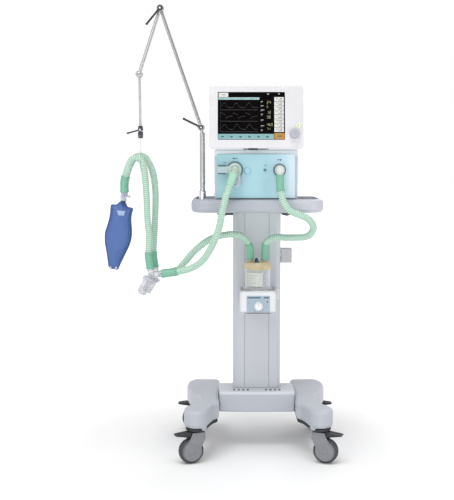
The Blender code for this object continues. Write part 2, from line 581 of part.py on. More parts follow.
# levels down the bag: height, middle x, half width, half depth
BAG = (
    (0.9287, -0.4870, 0.0105, 0.0105), (0.9160, -0.4875, 0.0112, 0.0112), (0.9080, -0.4885, 0.0240, 0.0160),
    (0.8980, -0.4915, 0.0395, 0.0215), (0.8750, -0.4950, 0.0450, 0.0270), (0.8400, -0.5005, 0.0480, 0.0310),
    (0.8050, -0.5060, 0.0490, 0.0320), (0.7700, -0.5115, 0.0460, 0.0300), (0.7350, -0.5165, 0.0390, 0.0255),
    (0.7050, -0.5210, 0.0290, 0.0190), (0.6850, -0.5235, 0.0190, 0.0120), (0.6770, -0.5245, 0.0120, 0.0070),
)
BAG_STEPS = 20
bm = bmesh.new()
rings = []
for z, x, wide, deep in BAG:
    ring = []
    for k in range(BAG_STEPS):
        a = 2 * math.pi * k / BAG_STEPS
        ring.append(bm.verts.new((x + wide * math.cos(a), Y_PIECE.y + deep * math.sin(a), z)))
    rings.append(ring)
for top, bottom in zip(rings, rings[1:]):
    for k in range(BAG_STEPS):
        m = (k + 1) % BAG_STEPS
        bm.faces.new((top[k], top[m], bottom[m], bottom[k]))
bm.faces.new(rings[0])
bm.faces.new(rings[-1])
bmesh.ops.recalc_face_normals(bm, faces=bm.faces)
bag_mesh = bpy.data.meshes.new("test_lung")
bm.to_mesh(bag_mesh)
bm.free()
finish("test_lung", link("test_lung", bag_mesh), (0.10, 0.22, 0.45))

valve_end = outlet_top + VALVE_WAY * (0.0180 + GAP)
ELBOW_FACE = INSP_PORT.z - 0.0183
LID_FACE = LID_PORT_TOP + GAP
FRONT_LEG_Y = Y_PIECE.y - Y_SPREAD
REAR_LEG_Y = Y_PIECE.y + Y_SPREAD
hose("hose_unit_to_humidifier", (
    (INSP_PORT.x, PORT_FRONT, ELBOW_FACE), (INSP_PORT.x, PORT_FRONT, 1.0000), (0.0755, -0.2320, 0.9650),
    (0.0850, -0.2400, 0.9300), (0.1070, -0.2400, 0.9000), (0.1410, -0.2350, 0.8850), (0.1750, -0.2200, 0.8680),
    (0.1935, -0.1950, 0.8370), (0.1740, -0.1680, 0.8050), (0.1140, -0.1420, 0.7980), (0.0600, -0.1180, 0.7970),
    (0.0310, -0.0960, 0.7760), (LID_PORTS[1], CHAMBER_Y, 0.7450), (LID_PORTS[1], CHAMBER_Y, LID_FACE)), HOSE, GREEN)
hose("hose_humidifier_to_trap", (
    (LID_PORTS[0], CHAMBER_Y, LID_FACE), (LID_PORTS[0], CHAMBER_Y, 0.7450), (-0.0400, -0.0950, 0.7840),
    (-0.0730, -0.1080, 0.8060), (-0.1190, -0.1150, 0.8060), (-0.1730, -0.1100, 0.7900), (-0.2280, -0.0950, 0.7480),
    (-0.2660, -0.0810, 0.7040), ends["a"][1] + TRAP_SIDE * 0.0450, ends["a"][1]), HOSE, GREEN)
hose("hose_trap_to_valve", (
    valve_end, valve_end + VALVE_WAY * 0.0250, (-0.1155, -0.2360, 0.9500), (-0.1290, -0.2400, 0.8950),
    (-0.1410, -0.2280, 0.8360), (-0.1680, -0.2010, 0.7680), (-0.2010, -0.1720, 0.7170), (-0.2420, -0.1450, 0.6880),
    ends["b"][1] + TRAP_SIDE * 0.0450, ends["b"][1]), HOSE, GREEN)
hose("limb_front", (
    ends["b"][0], ends["b"][0] + TRAP_UP * 0.0400, (-0.3930, -0.1250, 0.8000), (-0.3980, -0.1250, 0.8600),
    (-0.4005, -0.1250, 0.9250), (-0.4035, -0.1250, 0.9900), (-0.4080, -0.1250, 1.0350), (-0.4150, -0.1248, 1.0665),
    (-0.4237, -0.1240, 1.0785), (-0.4375, -0.1230, 1.0830), (-0.4513, -0.1220, 1.0785), (-0.4601, -0.1210, 1.0665),
    (-0.4705, -0.1190, 1.0400), (-0.4790, -0.1172, 1.0120), (Y_TOP.x, FRONT_LEG_Y, Y_TOP.z + 0.0300),
    (Y_TOP.x, FRONT_LEG_Y, Y_TOP.z + GAP)), HOSE, GREEN)
hose("limb_rear", (
    ends["a"][0], ends["a"][0] + TRAP_UP * 0.0400, (-0.3765, -0.0750, 0.8300), (-0.3725, -0.0750, 0.9200),
    (-0.3735, -0.0750, 0.9750), (-0.3795, -0.0750, 1.0200), (-0.3895, -0.0750, 1.0530), (-0.3990, -0.0751, 1.0696),
    (-0.4085, -0.0752, 1.0840), (-0.4249, -0.0756, 1.0905), (-0.4423, -0.0765, 1.0868), (-0.4545, -0.0775, 1.0740),
    (-0.4685, -0.0800, 1.0460), (-0.4785, -0.0825, 1.0140), (Y_TOP.x, REAR_LEG_Y, Y_TOP.z + 0.0300),
    (Y_TOP.x, REAR_LEG_Y, Y_TOP.z + GAP)), HOSE, GREEN)
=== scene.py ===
"""Mechanical ventilator on its trolley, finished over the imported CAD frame. Metres, +Z up."""

import math

import bmesh
import bpy
from mathutils import Matrix, Vector, geometry, noise
from mathutils.bvhtree import BVHTree


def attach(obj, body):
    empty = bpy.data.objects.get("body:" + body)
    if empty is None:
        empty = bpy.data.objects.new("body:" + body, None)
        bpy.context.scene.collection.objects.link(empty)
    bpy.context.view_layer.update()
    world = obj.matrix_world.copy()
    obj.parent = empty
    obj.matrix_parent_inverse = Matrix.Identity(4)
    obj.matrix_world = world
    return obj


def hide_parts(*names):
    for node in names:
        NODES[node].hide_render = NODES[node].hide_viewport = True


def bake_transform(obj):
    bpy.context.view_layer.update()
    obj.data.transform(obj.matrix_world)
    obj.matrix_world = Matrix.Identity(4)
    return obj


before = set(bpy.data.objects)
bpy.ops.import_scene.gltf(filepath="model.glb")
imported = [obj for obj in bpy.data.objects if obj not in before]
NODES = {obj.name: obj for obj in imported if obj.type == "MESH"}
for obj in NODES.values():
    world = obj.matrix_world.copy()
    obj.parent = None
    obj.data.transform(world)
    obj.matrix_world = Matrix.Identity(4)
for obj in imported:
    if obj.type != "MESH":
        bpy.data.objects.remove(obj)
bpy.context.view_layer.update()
SHIFT = Vector((0.085, 0.005, 0.0))      # from the trolley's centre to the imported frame
PLACE = Matrix.Translation(SHIFT)


def linked(obj):
    bpy.context.scene.collection.objects.link(obj)
    return obj


# ---------------------------------------------------------------- camera and light
camera = linked(bpy.data.objects.new("camera", bpy.data.cameras.new("camera")))
camera.data.sensor_width = 36.0
camera.data.lens = 70.56
camera.location = (-0.027, -3.645, 1.076)
camera.rotation_euler = (math.radians(90.0 - 5.25), 0.0, 0.0)
bpy.context.scene.camera = camera

world = bpy.data.worlds.new("studio")
world.use_nodes = True
sky = world.node_tree
seen = sky.nodes.new("ShaderNodeLightPath")
level = sky.nodes.new("ShaderNodeMapRange")
level.inputs["To Min"].default_value = 0.6      # what lights the object
level.inputs["To Max"].default_value = 1.0       # the plain white behind it
sky.links.new(seen.outputs["Is Camera Ray"], level.inputs["Value"])
sky.links.new(level.outputs["Result"], sky.nodes["Background"].inputs["Strength"])
sky.nodes["Background"].inputs["Color"].default_value = (1.0, 1.0, 1.0, 1.0)
bpy.context.scene.world = world
bpy.context.scene.view_settings.view_transform = "Standard"


def softbox(name, place, aim, size, power, colour=(1.0, 1.0, 1.0)):
    lamp = bpy.data.lights.new(name, "AREA")
    lamp.shape = "RECTANGLE"
    lamp.size, lamp.size_y = size
    lamp.energy = power
    lamp.color = colour
    obj = linked(bpy.data.objects.new(name, lamp))
    obj.location = place
    obj.rotation_euler = (Vector(aim) - Vector(place)).to_track_quat("-Z", "Y").to_euler()


softbox("key", (-2.0, -2.6, 2.5), (0.05, 0.0, 0.9), (1.6, 1.6), 17.0, (1.0, 0.99, 0.97))
softbox("front", (-0.4, -3.9, 0.7), (0.05, 0.0, 0.65), (2.4, 1.2), 14.0, (1.0, 1.0, 0.99))
softbox("fill", (2.4, -1.9, 1.0), (0.05, 0.0, 0.7), (1.0, 2.0), 9.0, (0.97, 0.98, 1.0))
softbox("rim", (1.2, 2.2, 2.6), (0.05, 0.0, 1.0), (1.4, 1.4), 12.0)
overhead = linked(bpy.data.objects.new("overhead", bpy.data.lights.new("overhead", "SUN")))
overhead.data.energy = 1.45
overhead.data.angle = math.radians(34.0)
overhead.rotation_euler = (math.radians(17.0), math.radians(-5.0), 0.0)


# ---------------------------------------------------------------- colours and finishes
def srgb(r, g, b):
    return tuple((c / 255 / 12.92) if c < 11 else ((c / 255 + 0.055) / 1.055) ** 2.4 for c in (r, g, b))


def scaled(colour, factor):
    return (*(min(c * factor, 1.0) for c in colour), 1.0)


class Finish:
    """One procedural material, built a layer at a time around its Principled shader."""

    def __init__(self, name, colour, rough=0.4, metal=0.0, **sockets):
        self.mat = bpy.data.materials.new(name)
        self.mat.use_nodes = True
        self.tree = self.mat.node_tree
        self.shader = self.tree.nodes["Principled BSDF"]
        self.colour = colour
        self.rough = rough
        self.set("Base Color", (*colour, 1.0))
        self.set("Roughness", rough)
        self.set("Metallic", metal)
        for key, value in sockets.items():
            self.set(key.replace("_", " "), value)
        self.place = self.node("ShaderNodeTexCoord").outputs["Object"]

    def node(self, kind, **inputs):
        made = self.tree.nodes.new(kind)
        for key, value in inputs.items():
            made.inputs[key.replace("_", " ")].default_value = value
        return made

    def set(self, socket, value):
        self.shader.inputs[socket].default_value = value

    def wire(self, output, target):
        self.tree.links.new(output, target)
        return self

    def stretched(self, scale):
        mapping = self.node("ShaderNodeMapping", Scale=scale)
        self.wire(self.place, mapping.inputs["Vector"])
        return mapping.outputs["Vector"]

    def noise(self, scale, detail=3.0, along=None):
        made = self.node("ShaderNodeTexNoise", Scale=scale, Detail=detail)
        self.wire(self.stretched(along) if along else self.place, made.inputs["Vector"])
        return made.outputs["Fac"]

    def ramp(self, fac, stops):
        made = self.node("ShaderNodeValToRGB")
        elements = made.color_ramp.elements
        while len(elements) < len(stops):
            elements.new(0.5)
        for element, (at, colour) in zip(elements, stops):
            element.position = at
            element.color = colour if len(colour) == 4 else (*colour, 1.0)
        self.wire(fac, made.inputs["Fac"])
        return made.outputs["Color"]

    def drift(self, amount=0.05, scale=7.0, along=None):
        """Broad, faint change of colour over the surface."""
        fac = self.noise(scale, 4.0, along)
        low, high = scaled(self.colour, 1 - amount), scaled(self.colour, 1 + amount)
        return self.wire(self.ramp(fac, [(0.32, low), (0.68, high)]), self.shader.inputs["Base Color"])

    def patchy(self, spread=0.08, scale=40.0):
        """Roughness that wanders, as handled plastic has."""
        fit = self.node("ShaderNodeMapRange", To_Min=max(self.rough - spread, 0.02), To_Max=self.rough + spread)
        self.wire(self.noise(scale, 3.0), fit.inputs["Value"])
        return self.wire(fit.outputs["Result"], self.shader.inputs["Roughness"])

    def grain(self, scale=650.0, strength=0.12, depth=0.0003, along=None):
        """Fine moulded or sprayed texture in the normal."""
        bump = self.node("ShaderNodeBump", Strength=strength, Distance=depth)
        self.wire(self.noise(scale, 2.0, along), bump.inputs["Height"])
        return self.wire(bump.outputs["Normal"], self.shader.inputs["Normal"])

    def across(self, axis, start, end, stops):
        """Painted light and shade: colour that changes along one axis, with the same faint drift."""
        split = self.node("ShaderNodeSeparateXYZ")
        self.wire(self.place, split.inputs["Vector"])
        fit = self.node("ShaderNodeMapRange", From_Min=start, From_Max=end)
        self.wire(split.outputs[axis], fit.inputs["Value"])
        waver = self.node("ShaderNodeMath")
        waver.operation = "MULTIPLY_ADD"
        waver.inputs[1].default_value = 0.12
        self.wire(self.noise(9.0, 4.0), waver.inputs[0])
        self.wire(fit.outputs["Result"], waver.inputs[2])
        return self.wire(self.ramp(waver.outputs["Value"], stops), self.shader.inputs["Base Color"])

    def see_through(self, facing, edge, power=0.45):
        """Clear where it is seen square on, and denser at its edges."""
        weight = self.node("ShaderNodeLayerWeight", Blend=power)
        fit = self.node("ShaderNodeMapRange", To_Min=facing, To_Max=edge)
        self.wire(weight.outputs["Facing"], fit.inputs["Value"])
        return self.wire(fit.outputs["Result"], self.shader.inputs["Alpha"])


def moulded(name, colour, rough=0.4, grain=650.0, **sockets):
    return Finish(name, colour, rough, **sockets).drift().patchy().grain(grain).mat


def brushed(name, colour, rough, along):
    made = Finish(name, colour, rough, 1.0)
    made.drift(0.12, 60.0, along).patchy(0.07, 90.0).grain(900.0, 0.25, 0.0002, along)
    return made.mat


def shaded_paint(name, colour, rough, axis, start, end, *stops, spots=25.0, grain=(420.0, 0.1)):
    """Sprayed paint with painted light and shade ramped along one axis."""
    made = Finish(name, srgb(*colour), rough).across(axis, start, end, [(at, srgb(*c)) for at, c in stops])
    return made.patchy(0.07, spots).grain(*grain).mat


PAINT = Finish("painted_grey", srgb(188, 192, 200), 0.4).drift(0.035, 3.0)
PAINT = PAINT.patchy(0.07, 25.0).grain(420.0, 0.1).mat
# Painted shade: the legs are painted darker towards their front ends, which face the lamps, and lighter towards the
# back.
LEG_PAINT = shaded_paint("leg_paint", (184, 188, 196), 0.42, "Y", -0.24, 0.1,
                    (0.0, (176, 180, 188)), (0.6, (183, 187, 195)), (1.0, (190, 193, 201)))
# Painted light: the crossbar is painted lighter along its top face, which lies in the column's shade.
BEAM_PAINT = shaded_paint("beam_paint", (182, 186, 195), 0.42, "Z", 0.198, 0.21,
                     (0.0, (181, 185, 194)), (0.5, (184, 188, 196)), (1.0, (208, 212, 218)))
# Painted light: the column is painted lighter near its top, where the tray shades it.
COLUMN_PAINT = shaded_paint("column_paint", (192, 196, 203), 0.4, "Z", 0.62, 0.88,
                       (0.0, (193, 196, 203)), (0.5, (195, 200, 205)), (1.0, (206, 213, 216)))
# Painted shade and light: the tray is painted darkest in the middle of its front, under the housing, and lighter
# towards its right end.
TRAY_PAINT = shaded_paint("tray_paint", (170, 173, 183), 0.42, "X", -0.155, 0.317,
                     (0.0, (168, 171, 182)), (0.45, (160, 166, 175)), (0.75, (176, 180, 188)),
                     (1.0, (188, 190, 199)), spots=30.0, grain=(500.0, 0.14))
SHELL = moulded("light_plastic", srgb(218, 219, 226), 0.4)
BRACKET = moulded("bracket_plastic", srgb(190, 192, 195), 0.42)
# Painted light: the housing is painted lighter along its top lip, which lies in the monitor's shade.
shell = Finish("housing_plastic", srgb(178, 189, 199), 0.42)
shell.across("Z", 1.08, 1.096, [
    (0.0, srgb(177, 188, 198)), (0.6, srgb(182, 193, 202)), (1.0, srgb(212, 220, 226))])
HOUSING = shell.patchy().grain().mat
BEZEL = moulded("bezel_plastic", srgb(212, 212, 215), 0.38)
DARK = moulded("dark_plastic", srgb(58, 60, 66), 0.48)
BLACK = moulded("black_plastic", srgb(34, 35, 38), 0.42)
RUBBER = moulded("rubber", srgb(46, 48, 52), 0.7, 900.0)
CASTER = moulded("caster_grey", srgb(132, 134, 139), 0.45)
TYRE = moulded("tyre_rubber", srgb(62, 64, 68), 0.62, 1100.0)
POCKET = moulded("pocket_mat", srgb(140, 140, 151), 0.62)
HEATER = moulded("heater_plastic", srgb(214, 216, 219), 0.36)
HEATER_PANEL = moulded("heater_panel", srgb(158, 173, 186), 0.4)
KNOB = moulded("knob_plastic", srgb(168, 169, 182), 0.38)
# Dark teal plastic of the collars, also used as painted shade around the expiratory valve.
TEAL_AND_SHADE = moulded("ring_plastic_and_shade", srgb(66, 92, 102), 0.42)
PORT = moulded("port_plastic", srgb(178, 200, 204), 0.36)
OUTLET = moulded("outlet_plastic", srgb(168, 188, 168), 0.34)
ELBOW = moulded("elbow_plastic", srgb(200, 208, 203), 0.34)
SENSOR = moulded("sensor_plastic", srgb(112, 150, 160), 0.42)
WHITE = moulded("white_plastic", srgb(220, 222, 226), 0.34)
NAVY = moulded("navy_plastic", srgb(32, 46, 72), 0.35)
PRINT = moulded("printed_mark", srgb(74, 104, 118), 0.55)
LABEL = moulded("blank_label", srgb(190, 193, 188), 0.5)
CHROME = brushed("chrome", srgb(214, 214, 218), 0.14, (40.0, 40.0, 1.0))
STEEL_UP = brushed("steel_upright", srgb(190, 190, 190), 0.36, (30.0, 30.0, 0.6))
PLATE = brushed("hot_plate", srgb(150, 148, 142), 0.3, (1.0, 30.0, 30.0))

# Painted light: the front panel is painted darker on its left and lighter towards its right edge, as light falls on the
# bowed panel.
panel = Finish("cyan_plastic", srgb(160, 204, 214), 0.34)
panel.across("X", -0.062, 0.214, [
    (0.0, srgb(146, 192, 198)), (0.3, srgb(152, 194, 204)), (0.72, srgb(157, 197, 208)),
    (0.9, srgb(182, 212, 223)), (1.0, srgb(204, 224, 234))])
CYAN = panel.patchy(0.06, 30.0).grain(700.0, 0.08).mat

# Painted shade and highlight: the hose is painted darker in the valleys between its ribs and lighter on the crests.
ribbed = Finish("hose_green", srgb(180, 211, 194), 0.42, Subsurface_Weight=0.25, Subsurface_Scale=0.004)
rib = ribbed.node("ShaderNodeAttribute")
rib.attribute_name = "rib"
ribbed.wire(ribbed.ramp(rib.outputs["Fac"], [(0.0, srgb(142, 182, 160)), (0.55, srgb(169, 202, 184)),
                                             (1.0, srgb(190, 215, 201))]), ribbed.shader.inputs["Base Color"])
HOSE_GREEN = ribbed.patchy(0.06, 80.0).grain(1200.0, 0.08).mat
CUFF_GREEN = moulded("cuff_green", srgb(116, 174, 150), 0.38, Subsurface_Weight=0.12, Subsurface_Scale=0.003)
PALE_CUFF = moulded("pale_cuff_green", srgb(160, 204, 182), 0.38, Subsurface_Weight=0.2, Subsurface_Scale=0.003)

glass = Finish("screen_glass", srgb(8, 6, 7), 0.1, Specular_IOR_Level=0.05)
GLASS = glass.drift(0.25, 30.0).patchy(0.03, 60.0).mat

CLEAR = Finish("clear_plastic", srgb(222, 224, 230), 0.1).drift(0.03, 40.0).patchy(0.04, 60.0).see_through(
    0.18, 0.85, 0.4).mat
MILKY = Finish("milky_clear", srgb(214, 214, 224), 0.16).drift(0.04, 60.0).patchy(0.05, 60.0).see_through(
    0.45, 0.95, 0.45).mat
AMBER = Finish("amber_plastic", srgb(214, 200, 160), 0.22).drift(0.1, 45.0).patchy(0.05, 60.0).see_through(
    0.62, 1.0, 0.5).mat
WATER = Finish("water", srgb(206, 214, 218), 0.05).drift(0.02, 30.0).see_through(0.14, 0.55, 0.5).mat


def lit(name, colour, strength):
    made = Finish(name, colour, 0.34, Emission_Strength=strength, Specular_IOR_Level=0.15)
    made.set("Emission Color", (*colour, 1.0))
    return made.drift(0.04, 60.0).patchy(0.03, 60.0).mat


KEY_GLOW = lit("lit_key", srgb(214, 220, 190), 0.22)
KEY_DOT = lit("key_dot", srgb(140, 164, 108), 0.05)
UI_TEAL = lit("ui_teal", srgb(120, 158, 160), 0.2)
UI_PALE = lit("ui_pale_teal", srgb(150, 176, 176), 0.15)
UI_WHITE = lit("ui_white", srgb(196, 195, 192), 0.2)
UI_GREY = lit("ui_grey", srgb(150, 148, 146), 0.1)
UI_ORANGE = lit("ui_orange", srgb(164, 124, 68), 0.18)
UI_TRACE = lit("ui_trace", srgb(96, 98, 100), 0.1)
UI_DIGIT = lit("ui_digit", srgb(150, 154, 112), 0.2)
UI_INK = lit("ui_ink", srgb(52, 84, 88), 0.02)


def paint(mat, *names):
    for name in names:
        mesh = NODES[name].data
        mesh.materials.clear()
        mesh.materials.append(mat)


# ---------------------------------------------------------------- shapes
def box(x, y, z, bevel=0.0, segments=2):
    bm = bmesh.new()
    bmesh.ops.create_cube(bm, size=1.0)
    for v in bm.verts:
        v.co = Vector([span[0] + (c + 0.5) * (span[1] - span[0]) for c, span in zip(v.co, (x, y, z))])
    if bevel:
        bmesh.ops.bevel(bm, geom=list(bm.edges), offset=bevel, segments=segments, profile=0.5, affect="EDGES")
    return bm


def prism(outline, low, high, axis="y", bevel=0.0, segments=2):
    place = {"z": lambda u, v, w: (u, v, w), "y": lambda u, v, w: (u, w, v),
             "x": lambda u, v, w: (w, u, v)}[axis]
    bm = bmesh.new()
    ends = [[bm.verts.new(place(u, v, w)) for u, v in outline] for w in (low, high)]
    caps = [bm.faces.new(ends[0]), bm.faces.new(ends[1])]
    for i in range(len(outline)):
        j = (i + 1) % len(outline)
        bm.faces.new((ends[0][i], ends[0][j], ends[1][j], ends[1][i]))
    if bevel:
        rim = list({edge for cap in caps for edge in cap.edges})
        bmesh.ops.bevel(bm, geom=rim, offset=bevel, segments=segments, profile=0.5, affect="EDGES")
    return bm


def rounded(x, z, radius, steps=5):
    points = []
    for cx, cz, start in ((x[1], z[0], -90), (x[1], z[1], 0), (x[0], z[1], 90), (x[0], z[0], 180)):
        mx = cx - math.copysign(radius, cx - sum(x) / 2)
        mz = cz - math.copysign(radius, cz - sum(z) / 2)
        for k in range(steps + 1):
            turn = math.radians(start + 90 * k / steps)
            points.append((mx + radius * math.cos(turn), mz + radius * math.sin(turn)))
    return points


def lathe(profile, steps=36, span=(0.0, 360.0)):
    """A turned solid about +Z. A profile that never meets the axis closes as a ring; a short span is capped."""
    full = span[1] - span[0] >= 359.9
    count = steps if full else steps + 1
    bm = bmesh.new()
    rings = []
    for radius, height in profile:
        ring = []
        for k in range(count if radius > 0 else 1):
            a = math.radians(span[0] + (span[1] - span[0]) * k / steps)
            ring.append(bm.verts.new((radius * math.cos(a), radius * math.sin(a), height)))
        rings.append(ring)
    pairs = list(zip(rings, rings[1:]))
    if profile[0][0] > 0:
        pairs.append((rings[-1], rings[0]))
    for low, high in pairs:
        for k in range(steps):
            m = (k + 1) % count
            corners = [low[k % len(low)], low[m % len(low)], high[m % len(high)], high[k % len(high)]]
            face = list(dict.fromkeys(corners))
            if len(face) > 2:
                bm.faces.new(face)
    if not full:
        for k in (0, -1):
            bm.faces.new([ring[k] for ring in rings])
    return bm


def torus(radius, thick, steps=40, sides=8):
    ring = [2 * math.pi * k / sides for k in range(sides)]
    return lathe([(radius + thick * math.cos(a), thick * math.sin(a)) for a in ring], steps)


def facing(origin, axis):
    """Places a turned shape: its own +Z goes along axis."""
    turn = Vector((0, 0, 1)).rotation_difference(Vector(axis).normalized()).to_matrix().to_4x4()
    return Matrix.Translation(Vector(origin)) @ turn


class Route:
    """A smooth line through its points, with a steady frame along it. Its first and last legs are straight."""

    def __init__(self, points, closed=False):
        points = [Vector(p) for p in points]
        if closed:
            points = [points[-1], *points, points[0], points[1]]
        dense = [] if closed else [points[0].lerp(points[1], k / 24) for k in range(24)]
        for a, b, c, d in zip(points, points[1:], points[2:], points[3:]):
            for k in range(24):
                t = k / 24
                dense.append(0.5 * (2 * b + (c - a) * t + (2 * a - 5 * b + 4 * c - d) * t ** 2
                                    + (3 * b - a - 3 * c + d) * t ** 3))
        if closed:
            dense.append(dense[0].copy())
        else:
            dense += [points[-2].lerp(points[-1], k / 24) for k in range(25)]
        self.points = dense
        self.at_length = [0.0]
        for a, b in zip(dense, dense[1:]):
            self.at_length.append(self.at_length[-1] + (b - a).length)
        self.length = self.at_length[-1]
        self.sides = []
        way = (dense[1] - dense[0]).normalized()
        side = way.orthogonal().normalized()
        for i in range(len(dense)):
            a, b = dense[max(i - 1, 0)], dense[min(i + 1, len(dense) - 1)]
            new_way = (b - a).normalized()
            side = (way.rotation_difference(new_way) @ side).normalized()
            way = new_way
            self.sides.append((side.copy(), way.cross(side).normalized()))

    def at(self, s):
        """Centre and the two cross directions at length s; past either end it runs straight on."""
        if s <= 0:
            way = (self.points[1] - self.points[0]).normalized()
            return self.points[0] + way * s, *self.sides[0]
        if s >= self.length:
            way = (self.points[-1] - self.points[-2]).normalized()
            return self.points[-1] + way * (s - self.length), *self.sides[-1]
        low, high = 0, len(self.at_length) - 1
        while high - low > 1:
            mid = (low + high) // 2
            low, high = (mid, high) if self.at_length[mid] <= s else (low, mid)
        part = (s - self.at_length[low]) / max(self.at_length[high] - self.at_length[low], 1e-9)
        one, two = self.sides[low], self.sides[high]
        return (self.points[low].lerp(self.points[high], part),
                one[0].lerp(two[0], part).normalized(), one[1].lerp(two[1], part).normalized())


def sweep(route, profile, steps=28, closed=False):
    """A skin along the route through (length, radius) pairs, capped or closed as a sleeve or a loop."""
    bm = bmesh.new()
    rings = []
    for s, radius in profile:
        centre, u, v = route.at(s)
        rings.append([bm.verts.new(centre + radius * (u * math.cos(2 * math.pi * k / steps)
                                                      + v * math.sin(2 * math.pi * k / steps)))
                      for k in range(steps)])
    pairs = list(zip(rings, rings[1:]))
    if closed:
        pairs.append((rings[-1], rings[0]))
    else:
        bm.faces.new(rings[0])
        bm.faces.new(rings[-1])
    for low, high in pairs:
        for k in range(steps):
            m = (k + 1) % steps
            bm.faces.new((low[k], low[m], high[m], high[k]))
    return bm


def wire(points, radius, closed=False, steps=10, spacing=0.003):
    route = Route(points, closed)
    count = max(8, round(route.length / spacing))
    if closed:
        return sweep(route, [(route.length * k / count, radius) for k in range(count)], steps, True)
    return sweep(route, [(route.length * k / count, radius) for k in range(count + 1)], steps)


def piece(name, bm, mat, angle=35.0):
    """A finished object from one bmesh."""
    bmesh.ops.recalc_face_normals(bm, faces=bm.faces)
    for face in bm.faces:
        face.smooth = True
    mesh = bpy.data.meshes.new(name)
    bm.to_mesh(mesh)
    bm.free()
    mesh.set_sharp_from_angle(angle=math.radians(angle))
    mesh.materials.append(mat)
    return linked(bpy.data.objects.new(name, mesh))


class Kit:
    """Gathers small shapes, each with its own finish, into one piece that rides on one body."""

    def __init__(self, name, body, place=PLACE, slot=None):
        self.name, self.body, self.place, self.slot = name, body, place, slot
        self.bm, self.mats = bmesh.new(), []

    def add(self, shape, mat, matrix=None):
        if mat not in self.mats:
            self.mats.append(mat)
        shape.transform(self.place @ matrix if matrix else self.place)
        bmesh.ops.recalc_face_normals(shape, faces=shape.faces)
        for face in shape.faces:
            face.material_index = self.mats.index(mat)
            face.smooth = True
        mesh = bpy.data.meshes.new("part")
        shape.to_mesh(mesh)
        shape.free()
        self.bm.from_mesh(mesh)
        bpy.data.meshes.remove(mesh)
        return self

    def turn(self, profile, steps, mat, origin, axis=(0, -1, 0)):
        """Adds a turned shape standing on origin and pointing along axis."""
        return self.add(lathe(profile, steps), mat, facing(origin, axis))

    def done(self, *replaced, angle=35.0):
        mesh = bpy.data.meshes.new(self.name)
        self.bm.to_mesh(mesh)
        self.bm.free()
        mesh.set_sharp_from_angle(angle=math.radians(angle))
        for mat in self.mats:
            mesh.materials.append(mat)
        obj = linked(bpy.data.objects.new(self.name, mesh))
        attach(obj, self.body)
        if replaced:
            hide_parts(*replaced)
        return obj


# ---------------------------------------------------------------- breathing hoses
PITCH = 0.0072                    # from one rib of a hose to the next
CUFF = 0.056
RIB_VALLEY, RIB_HEIGHT = 0.0108, 0.0017
PLAIN_END = 0.0117                # the hose's radius under a cuff
HOSE_SIDES = 28
TRAP_AT = {"a": Vector((-0.372, -0.075, 0.659)), "b": Vector((-0.386, -0.125, 0.659))}
TRAP_REACH = {"a": 0.026, "b": 0.04}
TRAP_UP = Vector((-0.145, 0.0, 0.989)).normalized()
TRAP_SIDE = Vector((0.99, 0.0, 0.139)).normalized()
TRAP_DOWN = Vector((-0.5, 0.0, -0.866)).normalized()
TOP = {word: at + TRAP_UP * 0.0283 for word, at in TRAP_AT.items()}
SIDE = {word: at + TRAP_SIDE * (TRAP_REACH[word] + 0.0003) for word, at in TRAP_AT.items()}
VALVE_WAY = Vector((-0.3, 0.0, -0.954)).normalized()
VALVE_TOP = Vector((-0.0846, -0.223, 1.0418))
VALVE_END = VALVE_TOP + VALVE_WAY * 0.0183

HOSES = {
    "hose_unit_to_humidifier": (
        (0.0731, -0.223, 1.0221), (0.0731, -0.223, 1.0), (0.0755, -0.232, 0.965), (0.085, -0.24, 0.93),
        (0.107, -0.24, 0.9), (0.141, -0.235, 0.885), (0.175, -0.22, 0.868), (0.1935, -0.195, 0.837),
        (0.174, -0.168, 0.805), (0.114, -0.142, 0.798), (0.06, -0.118, 0.797), (0.031, -0.096, 0.776),
        (0.026, -0.09, 0.745), (0.026, -0.09, 0.7163)),
    "hose_humidifier_to_trap": (
        (-0.027, -0.09, 0.7163), (-0.027, -0.09, 0.745), (-0.04, -0.095, 0.784), (-0.073, -0.108, 0.806),
        (-0.119, -0.115, 0.806), (-0.173, -0.11, 0.79), (-0.228, -0.095, 0.748), (-0.266, -0.081, 0.704),
        SIDE["a"] + TRAP_SIDE * 0.045, SIDE["a"]),
    "hose_trap_to_valve": (
        VALVE_END, VALVE_END + VALVE_WAY * 0.025, (-0.1155, -0.236, 0.95), (-0.129, -0.24, 0.895),
        (-0.141, -0.228, 0.836), (-0.168, -0.201, 0.768), (-0.201, -0.172, 0.717), (-0.242, -0.145, 0.688),
        SIDE["b"] + TRAP_SIDE * 0.045, SIDE["b"]),
    "limb_front": (
        TOP["b"], TOP["b"] + TRAP_UP * 0.04, (-0.393, -0.125, 0.8), (-0.398, -0.125, 0.86),
        (-0.4005, -0.125, 0.925), (-0.4035, -0.125, 0.99), (-0.408, -0.125, 1.035),
        (-0.415, -0.1248, 1.0665), (-0.4237, -0.124, 1.0785), (-0.4375, -0.123, 1.083),
        (-0.4513, -0.122, 1.0785), (-0.4601, -0.121, 1.0665), (-0.4705, -0.119, 1.04),
        (-0.479, -0.1172, 1.012), (-0.483, -0.1165, 0.992), (-0.483, -0.1165, 0.9623)),
    "limb_rear": (
        TOP["a"], TOP["a"] + TRAP_UP * 0.04, (-0.3765, -0.075, 0.83), (-0.3725, -0.075, 0.92),
        (-0.3735, -0.075, 0.975), (-0.3795, -0.075, 1.02), (-0.3895, -0.075, 1.053),
        (-0.399, -0.0751, 1.0696), (-0.4085, -0.0752, 1.084), (-0.4249, -0.0756, 1.0905),
        (-0.4423, -0.0765, 1.0868), (-0.4545, -0.0775, 1.074), (-0.4685, -0.08, 1.046),
        (-0.4785, -0.0825, 1.014), (-0.483, -0.0835, 0.992), (-0.483, -0.0835, 0.9623)),
}
